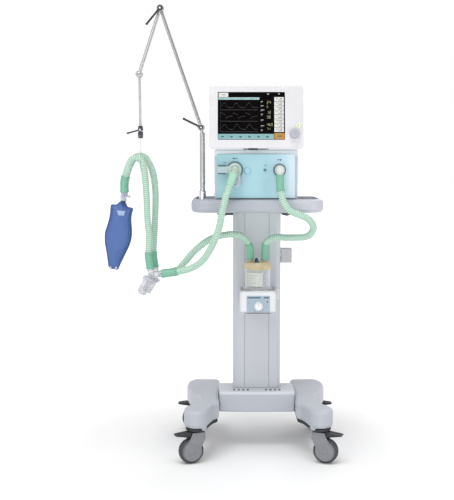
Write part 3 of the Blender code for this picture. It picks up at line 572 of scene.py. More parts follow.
BENDS = {
    "hose_humidifier_to_trap": ("trolley", "traps", (-0.062, -0.1, 0.8), (-0.3, -0.08, 0.69)),
    "hose_trap_to_valve": ("trolley", "traps", (-0.095, -0.23, 0.955), (-0.292, -0.13, 0.69)),
    "limb_front": ("traps", "circuit", (-0.39, -0.1, 0.77), (-0.39, -0.1, 0.95)),
    "limb_rear": ("traps", "circuit", (-0.39, -0.1, 0.77), (-0.39, -0.1, 0.95)),
}


def rib_radius(s, length):
    """Round ribs with narrow valleys; the ends under the cuffs run smooth."""
    if min(s, length - s) < CUFF * 0.8:
        return PLAIN_END
    wave = 0.5 - 0.5 * math.cos(2 * math.pi * s / PITCH)
    return RIB_VALLEY + RIB_HEIGHT * wave ** 0.6


def cuff(name, route, body, mat, at_end, reach=0.003, long=CUFF):
    """A soft sleeve over the hose's end: thin lips at both ends and a slight waist."""
    inner, outer = 0.0126, 0.0139
    shape = [(-reach, outer), (-reach + 0.0008, outer + 0.0007), (-reach + 0.0042, outer + 0.0007),
             (-reach + 0.0052, outer), (long * 0.45, outer - 0.0003), (long - 0.0056, outer - 0.0002),
             (long - 0.0044, outer + 0.0005), (long - 0.001, outer + 0.0005), (long, outer - 0.0002),
             (long, inner), (long * 0.5, inner), (-reach, inner)]
    fine = []
    for a, b in zip(shape, shape[1:] + shape[:1]):
        pieces = max(1, round(abs(b[0] - a[0]) / 0.004))
        fine += [(a[0] + (b[0] - a[0]) * k / pieces, a[1] + (b[1] - a[1]) * k / pieces) for k in range(pieces)]
    if at_end:
        fine = [(route.length - s, r) for s, r in fine]
    obj = piece(name, sweep(route, fine, 36, True), mat)
    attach(obj, body)
    return obj


for name, points in HOSES.items():
    route = Route([Vector(p) + SHIFT for p in points])
    count = round(route.length / (PITCH / 8))
    steps = [route.length * k / count for k in range(count + 1)]
    skin = sweep(route, [(s, rib_radius(s, route.length)) for s in steps], HOSE_SIDES)
    hose = piece(name, skin, HOSE_GREEN, 60.0)
    hose.name = "visual_" + name
    ribs = hose.data.attributes.new("rib", "FLOAT", "POINT")
    heights = [min(1.0, (rib_radius(s, route.length) - RIB_VALLEY) / RIB_HEIGHT) for s in steps]
    values = [height for height in heights for _ in range(HOSE_SIDES)]
    ribs.data.foreach_set("value", values)
    bodies = BENDS[name][:2] if name in BENDS else ("trolley", "trolley")
    if name == "hose_trap_to_valve":
        cuffs = [cuff(name + "_cuff_1", route, bodies[0], PALE_CUFF, False, 0.008, 0.04)]
    else:
        cuffs = [cuff(name + "_cuff_1", route, bodies[0], CUFF_GREEN, False)]
    cuffs.append(cuff(name + "_cuff_2", route, bodies[1], CUFF_GREEN, True))
    if name in BENDS:
        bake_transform(hose)
    else:
        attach(hose, "trolley")
    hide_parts(name)

# ---------------------------------------------------------------- string that carries the circuit
CLAMP = Vector((-0.4237, -0.0932, 1.154))
string_route = Route([Vector((CLAMP.x, CLAMP.y, z)) + SHIFT for z in (1.1537, 1.14, 1.122, 1.1045)])
twist = [(string_route.length * k / 90, 0.001 + 0.0002 * math.sin(k * 1.1)) for k in range(91)]
THREAD = moulded("string", srgb(222, 222, 224), 0.75, 2500.0)
string = piece("visual_hanger_string", sweep(string_route, twist, 12), THREAD, 60.0)
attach(string, "circuit")
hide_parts("hanger_string")
loop = [(CLAMP.x, -0.1 + 0.042 * math.cos(a) * (0.82 + 0.18 * abs(math.cos(a))),
         1.0765 + 0.0272 * math.sin(a)) for a in (2 * math.pi * k / 28 for k in range(28))]
kit = Kit("hanger_loop", "circuit")
kit.add(wire(loop, 0.0009, True, 10, 0.002), THREAD)
kit.add(lathe([(0, -0.0034), (0.0022, -0.0026), (0.003, 0.0), (0.0022, 0.0026), (0, 0.0034)], 18), THREAD,
        Matrix.Translation((CLAMP.x, CLAMP.y, 1.1052)))
kit.done()

# ---------------------------------------------------------------- monitor
UNIT_X = -0.009                   # the middle of the housing and the monitor
MONITOR_TILT = math.radians(-10.0)
MONITOR = PLACE @ Matrix.Translation((UNIT_X, -0.135, 1.15)) @ Matrix.Rotation(MONITOR_TILT, 4, "X")
GLASS_X = (-0.1353, 0.1003)
GLASS_Z = (-0.0137, 0.1557)
GLASS_Y = -0.0597
KNOB_X, KNOB_Z = 0.134, 0.0071
KEY_X, KEY_Z = 0.147, 0.0368
KNOB_AT, KEY_AT = (KNOB_X, -0.0613, KNOB_Z), (KEY_X, -0.0597, KEY_Z)

paint(BEZEL, "monitor_bezel")
paint(SHELL, "monitor_rear_housing")
paint(GLASS, "screen_glass")
paint(KNOB, "encoder_knob")
paint(CHROME, "encoder_shaft")
paint(KEY_GLOW, "alarm_key")
paint(PAINT, "monitor_bracket")

SEGMENTS = {"0": "abcdef", "1": "bc", "2": "abged", "3": "abgcd", "4": "fgbc", "5": "afgcd", "6": "afgecd",
            "7": "abc", "8": "abcdefg", "9": "abcfgd"}
BARS = {"a": (0.0, 1.0, 1), "g": (0.0, 0.5, 1), "d": (0.0, 0.0, 1), "f": (0.0, 0.75, 0), "b": (1.0, 0.75, 0),
        "e": (0.0, 0.25, 0), "c": (1.0, 0.25, 0)}


class Screen(Kit):
    """Flat shapes laid on the display, placed by shares of its width and of its height from the top."""

    def at(self, u, v):
        return (GLASS_X[0] + u * (GLASS_X[1] - GLASS_X[0]), GLASS_Z[1] - v * (GLASS_Z[1] - GLASS_Z[0]))

    def patch(self, u, v, mat, layer=1, round_by=0.0):
        (x0, z1), (x1, z0) = self.at(u[0], v[0]), self.at(u[1], v[1])
        front = GLASS_Y - 0.0001 * layer - 0.0001
        shape = ((x0, z0), (x1, z0), (x1, z1), (x0, z1))
        if round_by:
            shape = rounded((x0, x1), (z0, z1), round_by, 3)
        return self.add(prism(shape, front, front + 0.00012), mat)

    def number(self, text, u, v, tall, mat):
        wide = tall * 0.42
        for k, char in enumerate(text):
            left = u + k * wide * 1.45
            for bar in SEGMENTS[char]:
                across, up, flat = BARS[bar]
                cu = left + across * wide * 0.8
                cv = v + (1 - up) * tall
                if flat:
                    self.patch((cu, cu + wide * 0.8), (cv - 0.0035, cv + 0.0035), mat)
                else:
                    self.patch((cu - 0.0022, cu + 0.0022), (cv - tall * 0.23, cv + tall * 0.23), mat)

    def trace(self, u, v, tall, shape, mat):
        """A thin graph line: shape gives its height from 0 to 1 along the box."""
        count = 72
        low, high = [], []
        for k in range(count + 1):
            x, z = self.at(u[0] + (u[1] - u[0]) * k / count, v + tall * (1 - shape(k / count)))
            low.append((x, z - 0.0003))
            high.append((x, z + 0.0003))
        front = GLASS_Y - 0.0002
        return self.add(prism(low + high[::-1], front, front + 0.0001), mat)


def breath_pressure(t):
    p = (t * 3) % 1
    return 0.15 + (0.7 * (1 - math.exp(-p * 9)) if p < 0.38 else 0.7 * math.exp(-(p - 0.38) * 12))


def breath_flow(t):
    p = (t * 3) % 1
    if p < 0.38:
        return 0.5 + 0.42 * (1 - p / 0.6)
    return 0.5 - 0.45 * math.exp(-(p - 0.38) * 7)


def breath_volume(t):
    p = (t * 3) % 1
    return 0.1 + (0.8 * math.sin(p / 0.38 * math.pi / 2) if p < 0.38 else 0.8 * math.exp(-(p - 0.38) * 6))


screen = Screen("screen_display", "monitor", MONITOR, "screen")
screen.patch((0.012, 0.155), (0.012, 0.105), UI_WHITE, 1, 0.0015)
screen.patch((0.06, 0.115), (0.05, 0.066), UI_GREY, 2)
screen.patch((0.004, 0.62), (0.112, 0.16), UI_PALE)
for k in range(4):
    screen.patch((0.03 + 0.15 * k, 0.085 + 0.15 * k), (0.128, 0.146), UI_TEAL, 2)
screen.patch((0.735, 0.765), (0.03, 0.055), UI_GREY)
screen.patch((0.9, 0.925), (0.025, 0.05), UI_GREY)
for u, v, tall, shape in (((0.04, 0.6), 0.2, 0.15, breath_pressure), ((0.04, 0.6), 0.42, 0.17, breath_flow),
                          ((0.04, 0.6), 0.66, 0.15, breath_volume)):
    screen.trace(u, v, tall, shape, UI_TRACE)
    screen.patch((u[0], u[1]), (v + tall + 0.022, v + tall + 0.0255), UI_TRACE)
    screen.patch((u[0] - 0.0012, u[0]), (v - 0.01, v + tall + 0.024), UI_TRACE)
for k, v in enumerate((0.19, 0.28, 0.37, 0.46, 0.58, 0.7, 0.79)):
    screen.patch((0.64, 0.672 + 0.01 * (k % 3)), (v, v + 0.016), UI_GREY)
    screen.patch((0.64, 0.662), (v + 0.025, v + 0.036), UI_TRACE)
for text, v, tall in (("24", 0.19, 0.055), ("5", 0.295, 0.032), ("12", 0.4, 0.055), ("38", 0.5, 0.05),
                      ("460", 0.66, 0.05), ("71", 0.755, 0.045)):
    screen.number(text, 0.735, v, tall, UI_DIGIT)
for k in range(8):
    top = 0.106 + k * 0.0925
    screen.patch((0.842, 0.984), (top, top + 0.086), UI_WHITE, 1, 0.0012)
    screen.patch((0.87, 0.9 + 0.012 * (k % 3)), (top + 0.022, top + 0.036), UI_GREY, 2)
    screen.patch((0.925, 0.962), (top + 0.018, top + 0.04), UI_GREY, 2)
    screen.patch((0.905, 0.955), (top + 0.056, top + 0.068), UI_TRACE, 2)
screen.patch((0.842, 0.996), (0.862, 0.992), UI_ORANGE, 1, 0.0022)
screen.patch((0.885, 0.955), (0.918, 0.936), UI_INK, 2)
screen.patch((0.004, 0.836), (0.88, 0.992), UI_TEAL)
for k in range(6):
    left = 0.03 + k * 0.134
    screen.patch((left - 0.018, left - 0.0165), (0.89, 0.982), UI_INK, 2)
    screen.patch((left + 0.02, left + 0.06), (0.925, 0.945), UI_INK, 2)
    screen.patch((left + 0.028, left + 0.052), (0.956, 0.966), UI_INK, 2)
screen.done()

kit = Kit("monitor_details", "monitor", MONITOR, "light_plastic")
outer = rounded((-0.1385, 0.1035), (-0.017, 0.159), 0.004)
inner = rounded((-0.1372, 0.1022), (-0.0157, 0.1577), 0.003)
groove = bmesh.new()
rings = [[groove.verts.new((x, y, z)) for x, z in line] for line, y in
         ((outer, -0.05995), (outer, -0.06035), (inner, -0.06035), (inner, -0.05995))]
for a, b in zip(rings, rings[1:] + rings[:1]):
    for k in range(len(a)):
        m = (k + 1) % len(a)
        groove.faces.new((a[k], a[m], b[m], b[k]))
kit.add(groove, SHELL)
kit.add(prism(rounded((-0.029, 0.005), (-0.0492, -0.0438), 0.0018), -0.0585, -0.0505, "y", 0.0006, 1), DARK)
kit.add(prism(rounded((-0.024, 0.0), (-0.0478, -0.0452), 0.001), -0.0589, -0.0584), BLACK)
kit.turn([(0, 0), (0.0038, 0), (0.0032, 0.0006), (0, 0.0008)], 24, SHELL, (0.129, -0.06, 0.146))
kit.turn([(0.0176, 0), (0.0192, 0), (0.0188, 0.0007), (0.018, 0.0007)], 40, SHELL, (KNOB_X, -0.06, KNOB_Z))
kit.turn([(0.0091, 0), (0.0103, 0), (0.01, 0.0006), (0.0094, 0.0006)], 32, SHELL, (KEY_X, -0.06, KEY_Z))
for k in range(11):
    z = 0.06 + k * 0.0068
    kit.add(box((-0.105, 0.105), (-0.0112, -0.009), (z, z + 0.003), 0.0006, 1), DARK)
for x in (-0.142, 0.142):
    for z in (-0.012, 0.136):
        kit.turn([(0, 0), (0.0045, 0), (0.0045, 0.0006), (0.003, 0.0012), (0, 0.0013)], 20, STEEL_UP,
                 (x, -0.01, z), (0, 1, 0))
        kit.add(box((x - 0.0028, x + 0.0028), (-0.009, -0.0082), (z - 0.0004, z + 0.0004)), BLACK)
kit.add(prism(rounded((-0.06, 0.06), (0.022, 0.044), 0.003), -0.0101, -0.0093), LABEL)
for k in range(3):
    kit.add(prism(rounded((-0.052, 0.02 - 0.014 * k), (0.0385 - 0.006 * k, 0.04 - 0.006 * k), 0.0006, 2),
                  -0.0094, -0.009), UI_GREY)
kit.done()

kit = Kit("knob_details", "encoder_knob", MONITOR, "knob_plastic")
kit.turn([(0.0128, 0.0144), (0.0136, 0.0144), (0.0132, 0.0149)], 40, SHELL, KNOB_AT)
kit.turn([(0, 0.01445), (0.0088, 0.01445), (0.0082, 0.015), (0.0045, 0.01475), (0, 0.01465)], 36, KNOB, KNOB_AT)
for k in range(36):
    a = 2 * math.pi * k / 36
    kit.add(box((-0.0003, 0.0003), (0.0171, 0.0176), (0.0012, 0.0098)), SHELL,
            facing(KNOB_AT, (0, -1, 0)) @ Matrix.Rotation(a, 4, "Z"))
kit.done()

kit = Kit("key_details", "alarm_key", MONITOR, "lit_key")
kit.turn([(0, 0.0022), (0.0026, 0.0022), (0.0022, 0.003), (0, 0.0032)], 24, KEY_DOT, KEY_AT)
kit.turn([(0.007, 0.0015), (0.0078, 0.0013), (0.0075, 0.0021)], 32, KEY_GLOW, KEY_AT)
kit.done()

# ---------------------------------------------------------------- ventilator housing and front ports
EXP = Vector((-0.0846, 0.0, 1.0418))
INSP = Vector((0.0731, 0.0, 1.0404))
PANEL_HALF = 0.138
PANEL_EDGE_Y, PANEL_BOW = -0.1795, 0.0095


def panel_y(x):
    return PANEL_EDGE_Y - PANEL_BOW * (1 - ((x - UNIT_X) / PANEL_HALF) ** 2)


def seat_y(x, radius):
    return panel_y(UNIT_X + max(abs(x - UNIT_X) - radius, 0.0)) - 0.0003


paint(HOUSING, "main_housing")
paint(CYAN, "front_panel")
paint(DARK, "rear_panel")
paint(PORT, "exp_valve_lever")
paint(OUTLET, "exp_valve_body")
paint(ELBOW, "insp_elbow")
paint(TEAL_AND_SHADE, "insp_port_collar")
paint(moulded("cap_plastic", srgb(150, 196, 208), 0.36), "gas_port_cap")

exp_seat = seat_y(EXP.x, 0.0285)
insp_seat = seat_y(INSP.x, 0.0208)
EXP_AT, INSP_AT = (EXP.x, exp_seat, EXP.z), (INSP.x, insp_seat, INSP.z)
kit = Kit("port_rings", "trolley", slot="dark_plastic")
kit.turn([(0.0155, 0.0101), (0.0178, 0.0101), (0.0174, 0.0112), (0.0158, 0.0112)], 44, ELBOW, INSP_AT)
kit.turn([(0.0209, -0.001), (0.0222, -0.001), (0.0222, 0.0022), (0.0209, 0.003)], 48, TEAL_AND_SHADE, INSP_AT)
kit.turn([(0.0139, 0.015), (0.0215, 0.0146), (0.021, 0.016), (0.015, 0.0166)], 40, PORT, EXP_AT)
for k in range(3):
    kit.add(torus(0.0135, 0.0005), OUTLET, facing((EXP.x, exp_seat - 0.019 - 0.004 * k, EXP.z), (0, -1, 0)))
    kit.add(torus(0.0156, 0.0004), ELBOW, facing((INSP.x, insp_seat - 0.03 - 0.003 * k, INSP.z), (0, -1, 0)))
cup_at = Vector((EXP.x + 0.0075, -0.2035, EXP.z - 0.015))
kit.add(lathe([(0, -0.044), (0.0085, -0.044), (0.0125, -0.039), (0.013, 0.0), (0.0142, 0.0), (0.0142, 0.004),
               (0.0118, 0.004), (0.0116, -0.038), (0.008, -0.042), (0, -0.042)], 32), CLEAR,
        Matrix.Translation(cup_at))
kit.add(torus(0.0136, 0.0009), MILKY, Matrix.Translation(cup_at + Vector((0, 0, 0.002))))
kit.done()

kit = Kit("lever_details", "exp_valve_lever", slot="light_plastic")
# A dark part-ring round the valve's rim: painted shade in the gap around the valve.
kit.add(lathe([(0.0254, 0.0101), (0.0286, 0.0101), (0.0289, 0.006), (0.0293, 0.0062), (0.0291, 0.011),
               (0.0284, 0.0118), (0.026, 0.0118), (0.0254, 0.0112)], 60, (-58.0, 150.0)), TEAL_AND_SHADE,
        facing(EXP_AT, (0, -1, 0)))
# Dark strips along the top and bottom edges of the lever arm: painted shade at the edges of its recess.
for z, out in ((0.0137, 0.0), (-0.0137, 0.0)):
    kit.add(prism(rounded((-0.144, -0.115), (EXP.z + z - 0.0022, EXP.z + z + 0.0022), 0.0018),
                  exp_seat - 0.0095, exp_seat - 0.0016, "y", 0.0005, 1), TEAL_AND_SHADE)
for k in range(7):
    x = -0.1415 + k * 0.0032
    kit.add(box((x, x + 0.0012), (exp_seat - 0.0099, exp_seat - 0.0088), (EXP.z - 0.009, EXP.z + 0.009), 0.0004, 1),
            PORT)
for k in range(24):
    a = 2 * math.pi * k / 24
    kit.add(box((0.0282, 0.0288), (-0.0012, 0.0012), (0.002, 0.0086)), PORT,
            facing(EXP_AT, (0, -1, 0)) @ Matrix.Rotation(a, 4, "Z"))
kit.done()


def on_panel(outline, thick, sink=0.0004, bevel=0.0):
    """A flat outline laid on the bowed front panel."""
    shape = prism(outline, 0.0, 1.0)
    across = [e for e in shape.edges if abs(e.verts[0].co.x - e.verts[1].co.x) > 0.01]
    bmesh.ops.subdivide_edges(shape, edges=across, cuts=5)
    for v in shape.verts:
        v.co.y = panel_y(v.co.x) + (sink if v.co.y > 0.5 else -thick)
    return shape


def arrow(x, z, size, way):
    """A plain flow arrow."""
    tip, tail = x + way * size, x - way * size
    neck = x + way * size * 0.15
    return [(tail, z - size * 0.14), (neck, z - size * 0.14), (neck, z - size * 0.42), (tip, z),
            (neck, z + size * 0.42), (neck, z + size * 0.14), (tail, z + size * 0.14)]


kit = Kit("panel_details", "trolley", slot="cyan_plastic")
for x, z, way in ((EXP.x, 1.0815, -1), (INSP.x, 1.0765, 1)):
    kit.add(on_panel(arrow(x, z, 0.0095, way), 0.0002), PRINT)
kit.add(on_panel(arrow(0.0235, 1.0575, 0.0055, 1), 0.0002), PRINT)
kit.add(on_panel(arrow(-0.1185, 1.066, 0.006, -1), 0.0002), PRINT)
frame_out = rounded((0.0176, 0.1031), (0.966, 1.0057), 0.003)
frame_in = rounded((0.0188, 0.1019), (0.9672, 1.0045), 0.0022)
edge = bmesh.new()
rings = [[edge.verts.new((x, panel_y(x) - out, z)) for x, z in line] for line, out in
         ((frame_out, -0.0004), (frame_out, 0.0007), (frame_in, 0.0007), (frame_in, -0.0004))]
for a, b in zip(rings, rings[1:] + rings[:1]):
    for k in range(len(a)):
        m = (k + 1) % len(a)
        edge.faces.new((a[k], a[m], b[m], b[k]))
kit.add(edge, CYAN)
kit.add(on_panel(rounded((0.0205, 0.1002), (0.969, 1.0028), 0.002), 0.001), CYAN)
for k in range(4):
    kit.add(on_panel(rounded((0.0245, 0.03), (0.975 + 0.006 * k, 0.9775 + 0.006 * k), 0.001, 2), 0.0016), CYAN)
port = (0.0214, panel_y(0.0214 + 0.005) - 0.0002, 1.0408)
kit.turn([(0.0032, 0), (0.0056, 0), (0.0056, 0.002), (0.0048, 0.0028), (0.0032, 0.0028)], 28, SENSOR, port)
kit.turn([(0, 0), (0.0032, 0), (0.003, 0.0016), (0, 0.0018)], 20, TEAL_AND_SHADE, port)
cap_seat = seat_y(-0.0391, 0.0116)
kit.turn([(0.0118, -0.0008), (0.013, -0.0008), (0.0127, 0.0006), (0.012, 0.0006)], 36, CYAN,
         (-0.0391, cap_seat, 1.038))
kit.add(box((-0.0415, -0.0367), (cap_seat - 0.0042, cap_seat - 0.003), (1.0315, 1.0445), 0.0006, 1), CYAN)
for x in (UNIT_X - PANEL_HALF - 0.0006, UNIT_X + PANEL_HALF - 0.001):
    kit.add(box((x, x + 0.0016), (-0.18, -0.176), (0.944, 1.095), 0.0004, 1), HOUSING)
kit.add(box((UNIT_X - 0.139, UNIT_X + 0.139), (-0.176, -0.17), (0.9374, 0.9413), 0.0005, 1), RUBBER)
kit.done()

kit = Kit("housing_details", "trolley", slot="light_plastic")
for side in (-1, 1):
    x = UNIT_X + side * 0.147
    for k in range(12):
        y = -0.03 + k * 0.0115
        kit.add(box((x - 0.001, x + 0.0006), (y, y + 0.005), (0.985, 1.045), 0.0008, 1), DARK)
    kit.add(box((x - 0.001, x + 0.0004), (-0.14, 0.14), (1.0995, 1.1005)), POCKET)
    for y in (-0.15, 0.132):
        kit.turn([(0, 0), (0.004, 0), (0.004, 0.0005), (0.0028, 0.0012), (0, 0.0013)], 20, STEEL_UP,
                 (x, y, 0.955), (side, 0, 0))
fan = (0.06, 0.1565, 1.05)
for radius in (0.008, 0.015, 0.022, 0.029):
    kit.add(torus(radius, 0.0009), BLACK, facing(fan, (0, 1, 0)))
for k in range(4):
    kit.add(box((-0.034, 0.034), (-0.0008, 0.0008), (-0.0008, 0.0008)), BLACK,
            facing(fan, (0, 1, 0)) @ Matrix.Rotation(math.pi * k / 4, 4, "Z"))
for x in (-0.1, -0.066):
    for k in range(5):
        kit.add(torus(0.009, 0.0005), CHROME, facing((x, 0.161 + 0.0032 * k, 0.985), (0, 1, 0)))
    kit.turn([(0.009, 0), (0.0125, 0), (0.0125, 0.004), (0.009, 0.004)], 6, CHROME, (x, 0.1562, 0.985),
             (0, 1, 0))
    kit.turn([(0, 0.0), (0.0048, 0), (0.0048, 0.0005), (0, 0.0005)], 24, BLACK, (x, 0.178, 0.985), (0, 1, 0))
kit.add(prism(rounded((0.056, 0.092), (0.971, 0.993), 0.003), 0.1638, 0.1644), BLACK)
for x, z in ((0.066, 0.979), (0.082, 0.979), (0.074, 0.986)):
    kit.add(box((x - 0.0011, x + 0.0011), (0.1642, 0.166), (z - 0.0024, z + 0.0024), 0.0003, 1), CHROME)
kit.add(prism(rounded((-0.112, -0.04), (1.03, 1.078), 0.003), 0.156, 0.1566), LABEL)
for k in range(5):
    kit.add(prism(rounded((-0.106, -0.052 - 0.008 * (k % 3)), (1.0675 - 0.0075 * k, 1.069 - 0.0075 * k), 0.0006, 2),
                  0.1565, 0.1568), UI_GREY)
for x in (-0.129, 0.111):
    for z in (0.961, 1.092):
        kit.turn([(0, 0), (0.0036, 0), (0.0036, 0.0005), (0.0024, 0.0011), (0, 0.0012)], 20, STEEL_UP,
                 (x, 0.156, z), (0, 1, 0))
kit.add(box((UNIT_X - 0.139, UNIT_X + 0.139), (-0.1742, -0.1735), (1.0985, 1.1), 0.0003, 1), POCKET)
kit.done()

# ---------------------------------------------------------------- tray, column and base
paint(COLUMN_PAINT, "column_shell")
paint(BEAM_PAINT, "base_crossbar")
paint(LEG_PAINT, "base_leg_left", "base_leg_right")
paint(TRAY_PAINT, "tray")
paint(DARK, "tray_support_plate")
paint(SHELL, "column_rear_cover")
paint(BRACKET, "side_bracket")

kit = Kit("tray_details", "trolley", slot="dark_plastic")
SOCKET = (0.2003, -0.1)
for x0, x1 in ((-0.2239, -0.1591), (0.1416, 0.2184)):
    mat_shape = prism(rounded((x0, x1), (-0.1494, 0.0594), 0.0214), 0.9301, 0.9306, "z")
    kit.add(mat_shape, POCKET)
    for k in range(9):
        y = -0.06 + 0.0125 * k
        kit.add(box((x0 + 0.01, x1 - 0.01), (y, y + 0.0022), (0.9304, 0.9311), 0.0003, 1), POCKET)
kit.add(lathe([(0.0105, 0.9303), (0.0178, 0.9303), (0.0178, 0.9322), (0.0165, 0.9338), (0.0118, 0.9338),
               (0.0105, 0.9322)], 44), CHROME, Matrix.Translation((*SOCKET, 0)))
# A black disc near the foot of the empty socket's well: painted shade down the well.
kit.add(lathe([(0, 0.9135), (0.0104, 0.9135), (0.0104, 0.915), (0, 0.915)], 30), BLACK,
        Matrix.Translation((*SOCKET, 0)))
kit.add(lathe([(0.0173, 0.9306), (0.021, 0.9306), (0.021, 0.9316), (0.0202, 0.9326), (0.0173, 0.9326)], 44), CHROME,
        Matrix.Translation((-SOCKET[0], SOCKET[1], 0)))
for x in (-0.12, 0.106):
    for y in (-0.08, 0.112):
        kit.turn([(0, 0.0), (0.0065, 0.0), (0.0065, 0.0035), (0.005, 0.0045), (0, 0.0045)], 6, STEEL_UP,
                 (x, y, 0.876), (0, 0, -1))
kit.done()

kit = Kit("column_details", "trolley", slot="light_plastic")
for z in (0.265, 0.545, 0.825):
    for x in (-0.052, 0.052):
        kit.turn([(0, 0), (0.0042, 0), (0.0042, 0.0005), (0.003, 0.0012), (0, 0.0013)], 20, STEEL_UP,
                 (x, 0.09, z), (0, 1, 0))
        kit.add(box((x - 0.0026, x + 0.0026), (0.0912, 0.0918), (z - 0.0004, z + 0.0004)), BLACK)
for k in range(8):
    z = 0.3 + 0.012 * k
    kit.add(prism(rounded((-0.035, 0.035), (z, z + 0.0045), 0.002), 0.0896, 0.0904), BLACK)
for z in (0.704, 0.73):
    kit.turn([(0, 0), (0.0036, 0), (0.0036, 0.0006), (0.0024, 0.0012), (0, 0.0013)], 20, STEEL_UP,
             (0.1325, 0.046, z), (1, 0, 0))
    kit.add(box((0.1336, 0.1341), (0.0437, 0.0483), (z - 0.0004, z + 0.0004)), BLACK)
kit.add(box((-0.0905, 0.0905), (-0.001, 0.0848), (0.2166, 0.2186), 0.0008, 1), PAINT)
for x in (-0.0455, 0.0455):
    kit.add(box((x - 0.0006, x + 0.0006), (-0.0005, 0.0004), (0.22, 0.888), 0.0002, 1), POCKET)
kit.done()

LEG_OUTLINE = (
    (0.1413, -0.125), (0.158, -0.15), (0.172, -0.196), (0.185, -0.242), (0.211, -0.266),
    (0.241, -0.262), (0.261, -0.24), (0.266, -0.208), (0.253, -0.172), (0.231, -0.138),
    (0.217, -0.098), (0.214, -0.055), (0.224, -0.008), (0.244, 0.038), (0.26, 0.088),
    (0.268, 0.14), (0.268, 0.192), (0.257, 0.236), (0.228, 0.257), (0.1413, 0.252),
)
kit = Kit("base_details", "trolley", slot="dark_plastic")
leg_edge = Route([(x, y, 0.0) for x, y in LEG_OUTLINE])
# A dark band under each leg, set in from its outline: partly a rubber skirt, partly painted shade under the leg.
for side in (-1, 1):
    under_band = []
    for k in range(71):
        at = leg_edge.length * k / 70
        way = (leg_edge.at(at + 0.004)[0] - leg_edge.at(at - 0.004)[0]).normalized()
        inner = leg_edge.at(at)[0] + 0.0068 * Vector((-way.y, way.x, 0))
        under_band.append((side * max(inner.x, 0.145), inner.y))
    kit.add(prism(under_band, 0.1172, 0.1281, "z", 0.0015, 1), RUBBER)
    # Black plugs seated in the eight blind holes of the crossbar: their black is painted shade for the hollows of the
    # holes.
    for x in (0.034, 0.051, 0.068, 0.085):
        kit.add(lathe([(0, 0.0), (0.0029, 0.0), (0.0029, 0.006), (0.0042, 0.0062), (0.004, 0.0078),
                       (0.0022, 0.009), (0, 0.0092)], 20), BLACK, Matrix.Translation((side * x, -0.034, 0.2098)))
kit.add(box((0.1396, 0.1412), (-0.064, 0.085), (0.141, 0.168), 0.0005, 1), DARK)
kit.done()

# ---------------------------------------------------------------- casters
TRAIL = 0.031
TRAIL_TURNS = {"front_left": 20.0, "front_right": 20.0, "rear_left": 2.0, "rear_right": 2.0}
WHEEL_RADIUS = 0.045
SWIVELS = {"front_left": (-0.211, -0.226), "front_right": (0.211, -0.226), "rear_left": (-0.215, 0.212),
           "rear_right": (0.215, 0.212)}
for where, swivel in SWIVELS.items():
    side = math.copysign(1.0, swivel[0])
    turn = math.radians(TRAIL_TURNS[where])
    trail = Vector((side * math.cos(turn), -math.sin(turn), 0))
    axle = Vector((-trail.y, trail.x, 0)) * side
    local = Matrix((trail, axle, (0, 0, 1))).transposed().to_4x4()
    local.translation = Vector((*swivel, 0))
    if local.determinant() < 0:
        local.col[1] = -local.col[1]
    place = PLACE @ local
    paint(CASTER, f"caster_fork_{where}")
    paint(TYRE, f"caster_wheel_{where}")
    paint(BLACK, f"caster_pedal_{where}")
    kit = Kit(f"caster_cover_{where}", f"caster_{where}", place, "caster_grey")
    for way in (-1, 1):
        hub = (TRAIL, way * 0.0206, WHEEL_RADIUS)
        for radius, thick in ((0.03, 0.0007), (0.0225, 0.0007), (0.0165, 0.0006), (0.0105, 0.0006)):
            kit.add(torus(radius, thick, 48), CASTER, facing(hub, (0, way, 0)))
        kit.turn([(0, -0.0005), (0.0082, -0.0005), (0.0076, 0.001), (0.005, 0.0018), (0, 0.0021)], 32, CASTER,
                 hub, (0, way, 0))
        kit.add(wire([(-0.012, way * 0.0208, 0.108), (-0.0085, way * 0.0208, 0.09), (0.002, way * 0.0208, 0.07),
                      (0.006, way * 0.0208, 0.056)], 0.0008, False, 8), CASTER)
        kit.add(wire([(0.025, way * 0.0208, 0.1085), (0.03, way * 0.0208, 0.096), (0.0365, way * 0.0208, 0.082),
                      (0.048, way * 0.0208, 0.074)], 0.0008, False, 8), CASTER)
    kit.add(lathe([(0.01, 0.108), (0.019, 0.11), (0.019, 0.1118), (0.01, 0.1118)], 36), STEEL_UP)
    kit.done()
    kit = Kit(f"caster_tread_{where}", f"wheel_{where}", place, "tyre")
    for offset in (-0.0052, 0.0052):
        kit.add(torus(WHEEL_RADIUS - 0.0004, 0.0004, 64, 6), BLACK, facing((TRAIL, offset, WHEEL_RADIUS), (0, 1, 0)))
    for way in (-1, 1):
        kit.turn([(0.033, 0), (0.0362, 0), (0.0358, 0.0006), (0.0334, 0.0006)], 48, CASTER,
                 (TRAIL, way * 0.0155, WHEEL_RADIUS), (0, way, 0))
        for k in range(10):
            kit.add(box((0.012, 0.031), (-0.0016, 0.0016), (-0.0002, 0.0006), 0.0002, 1), BLACK,
                    facing((TRAIL, way * 0.0155, WHEEL_RADIUS), (0, way, 0)) @ Matrix.Rotation(math.pi * k / 5, 4, "Z"))
    kit.done()
    kit = Kit(f"pedal_ribs_{where}", f"pedal_{where}", place, "dark_plastic")
    for k in range(7):
        x = 0.045 + 0.0062 * k
        z = 0.115 + (x - 0.036) * (0.1085 - 0.115) / (0.088 - 0.036)
        kit.add(box((x, x + 0.0026), (-0.013, 0.013), (z - 0.0004, z + 0.0012), 0.0004, 1), RUBBER)
    kit.done()

# ---------------------------------------------------------------- humidifier
paint(HEATER, "heater_base")
paint(SHELL, "humidifier_bracket")
paint(WHITE, "humidifier_knob")
paint(CLEAR, "water_chamber")
paint(AMBER, "chamber_lid")
paint(NAVY, "fill_port_cap")
DIAL = Vector((0.0013, -0.1503, 0.551))
CHAMBER = Matrix.Translation((0, -0.09, 0))      # the water chamber's own axis

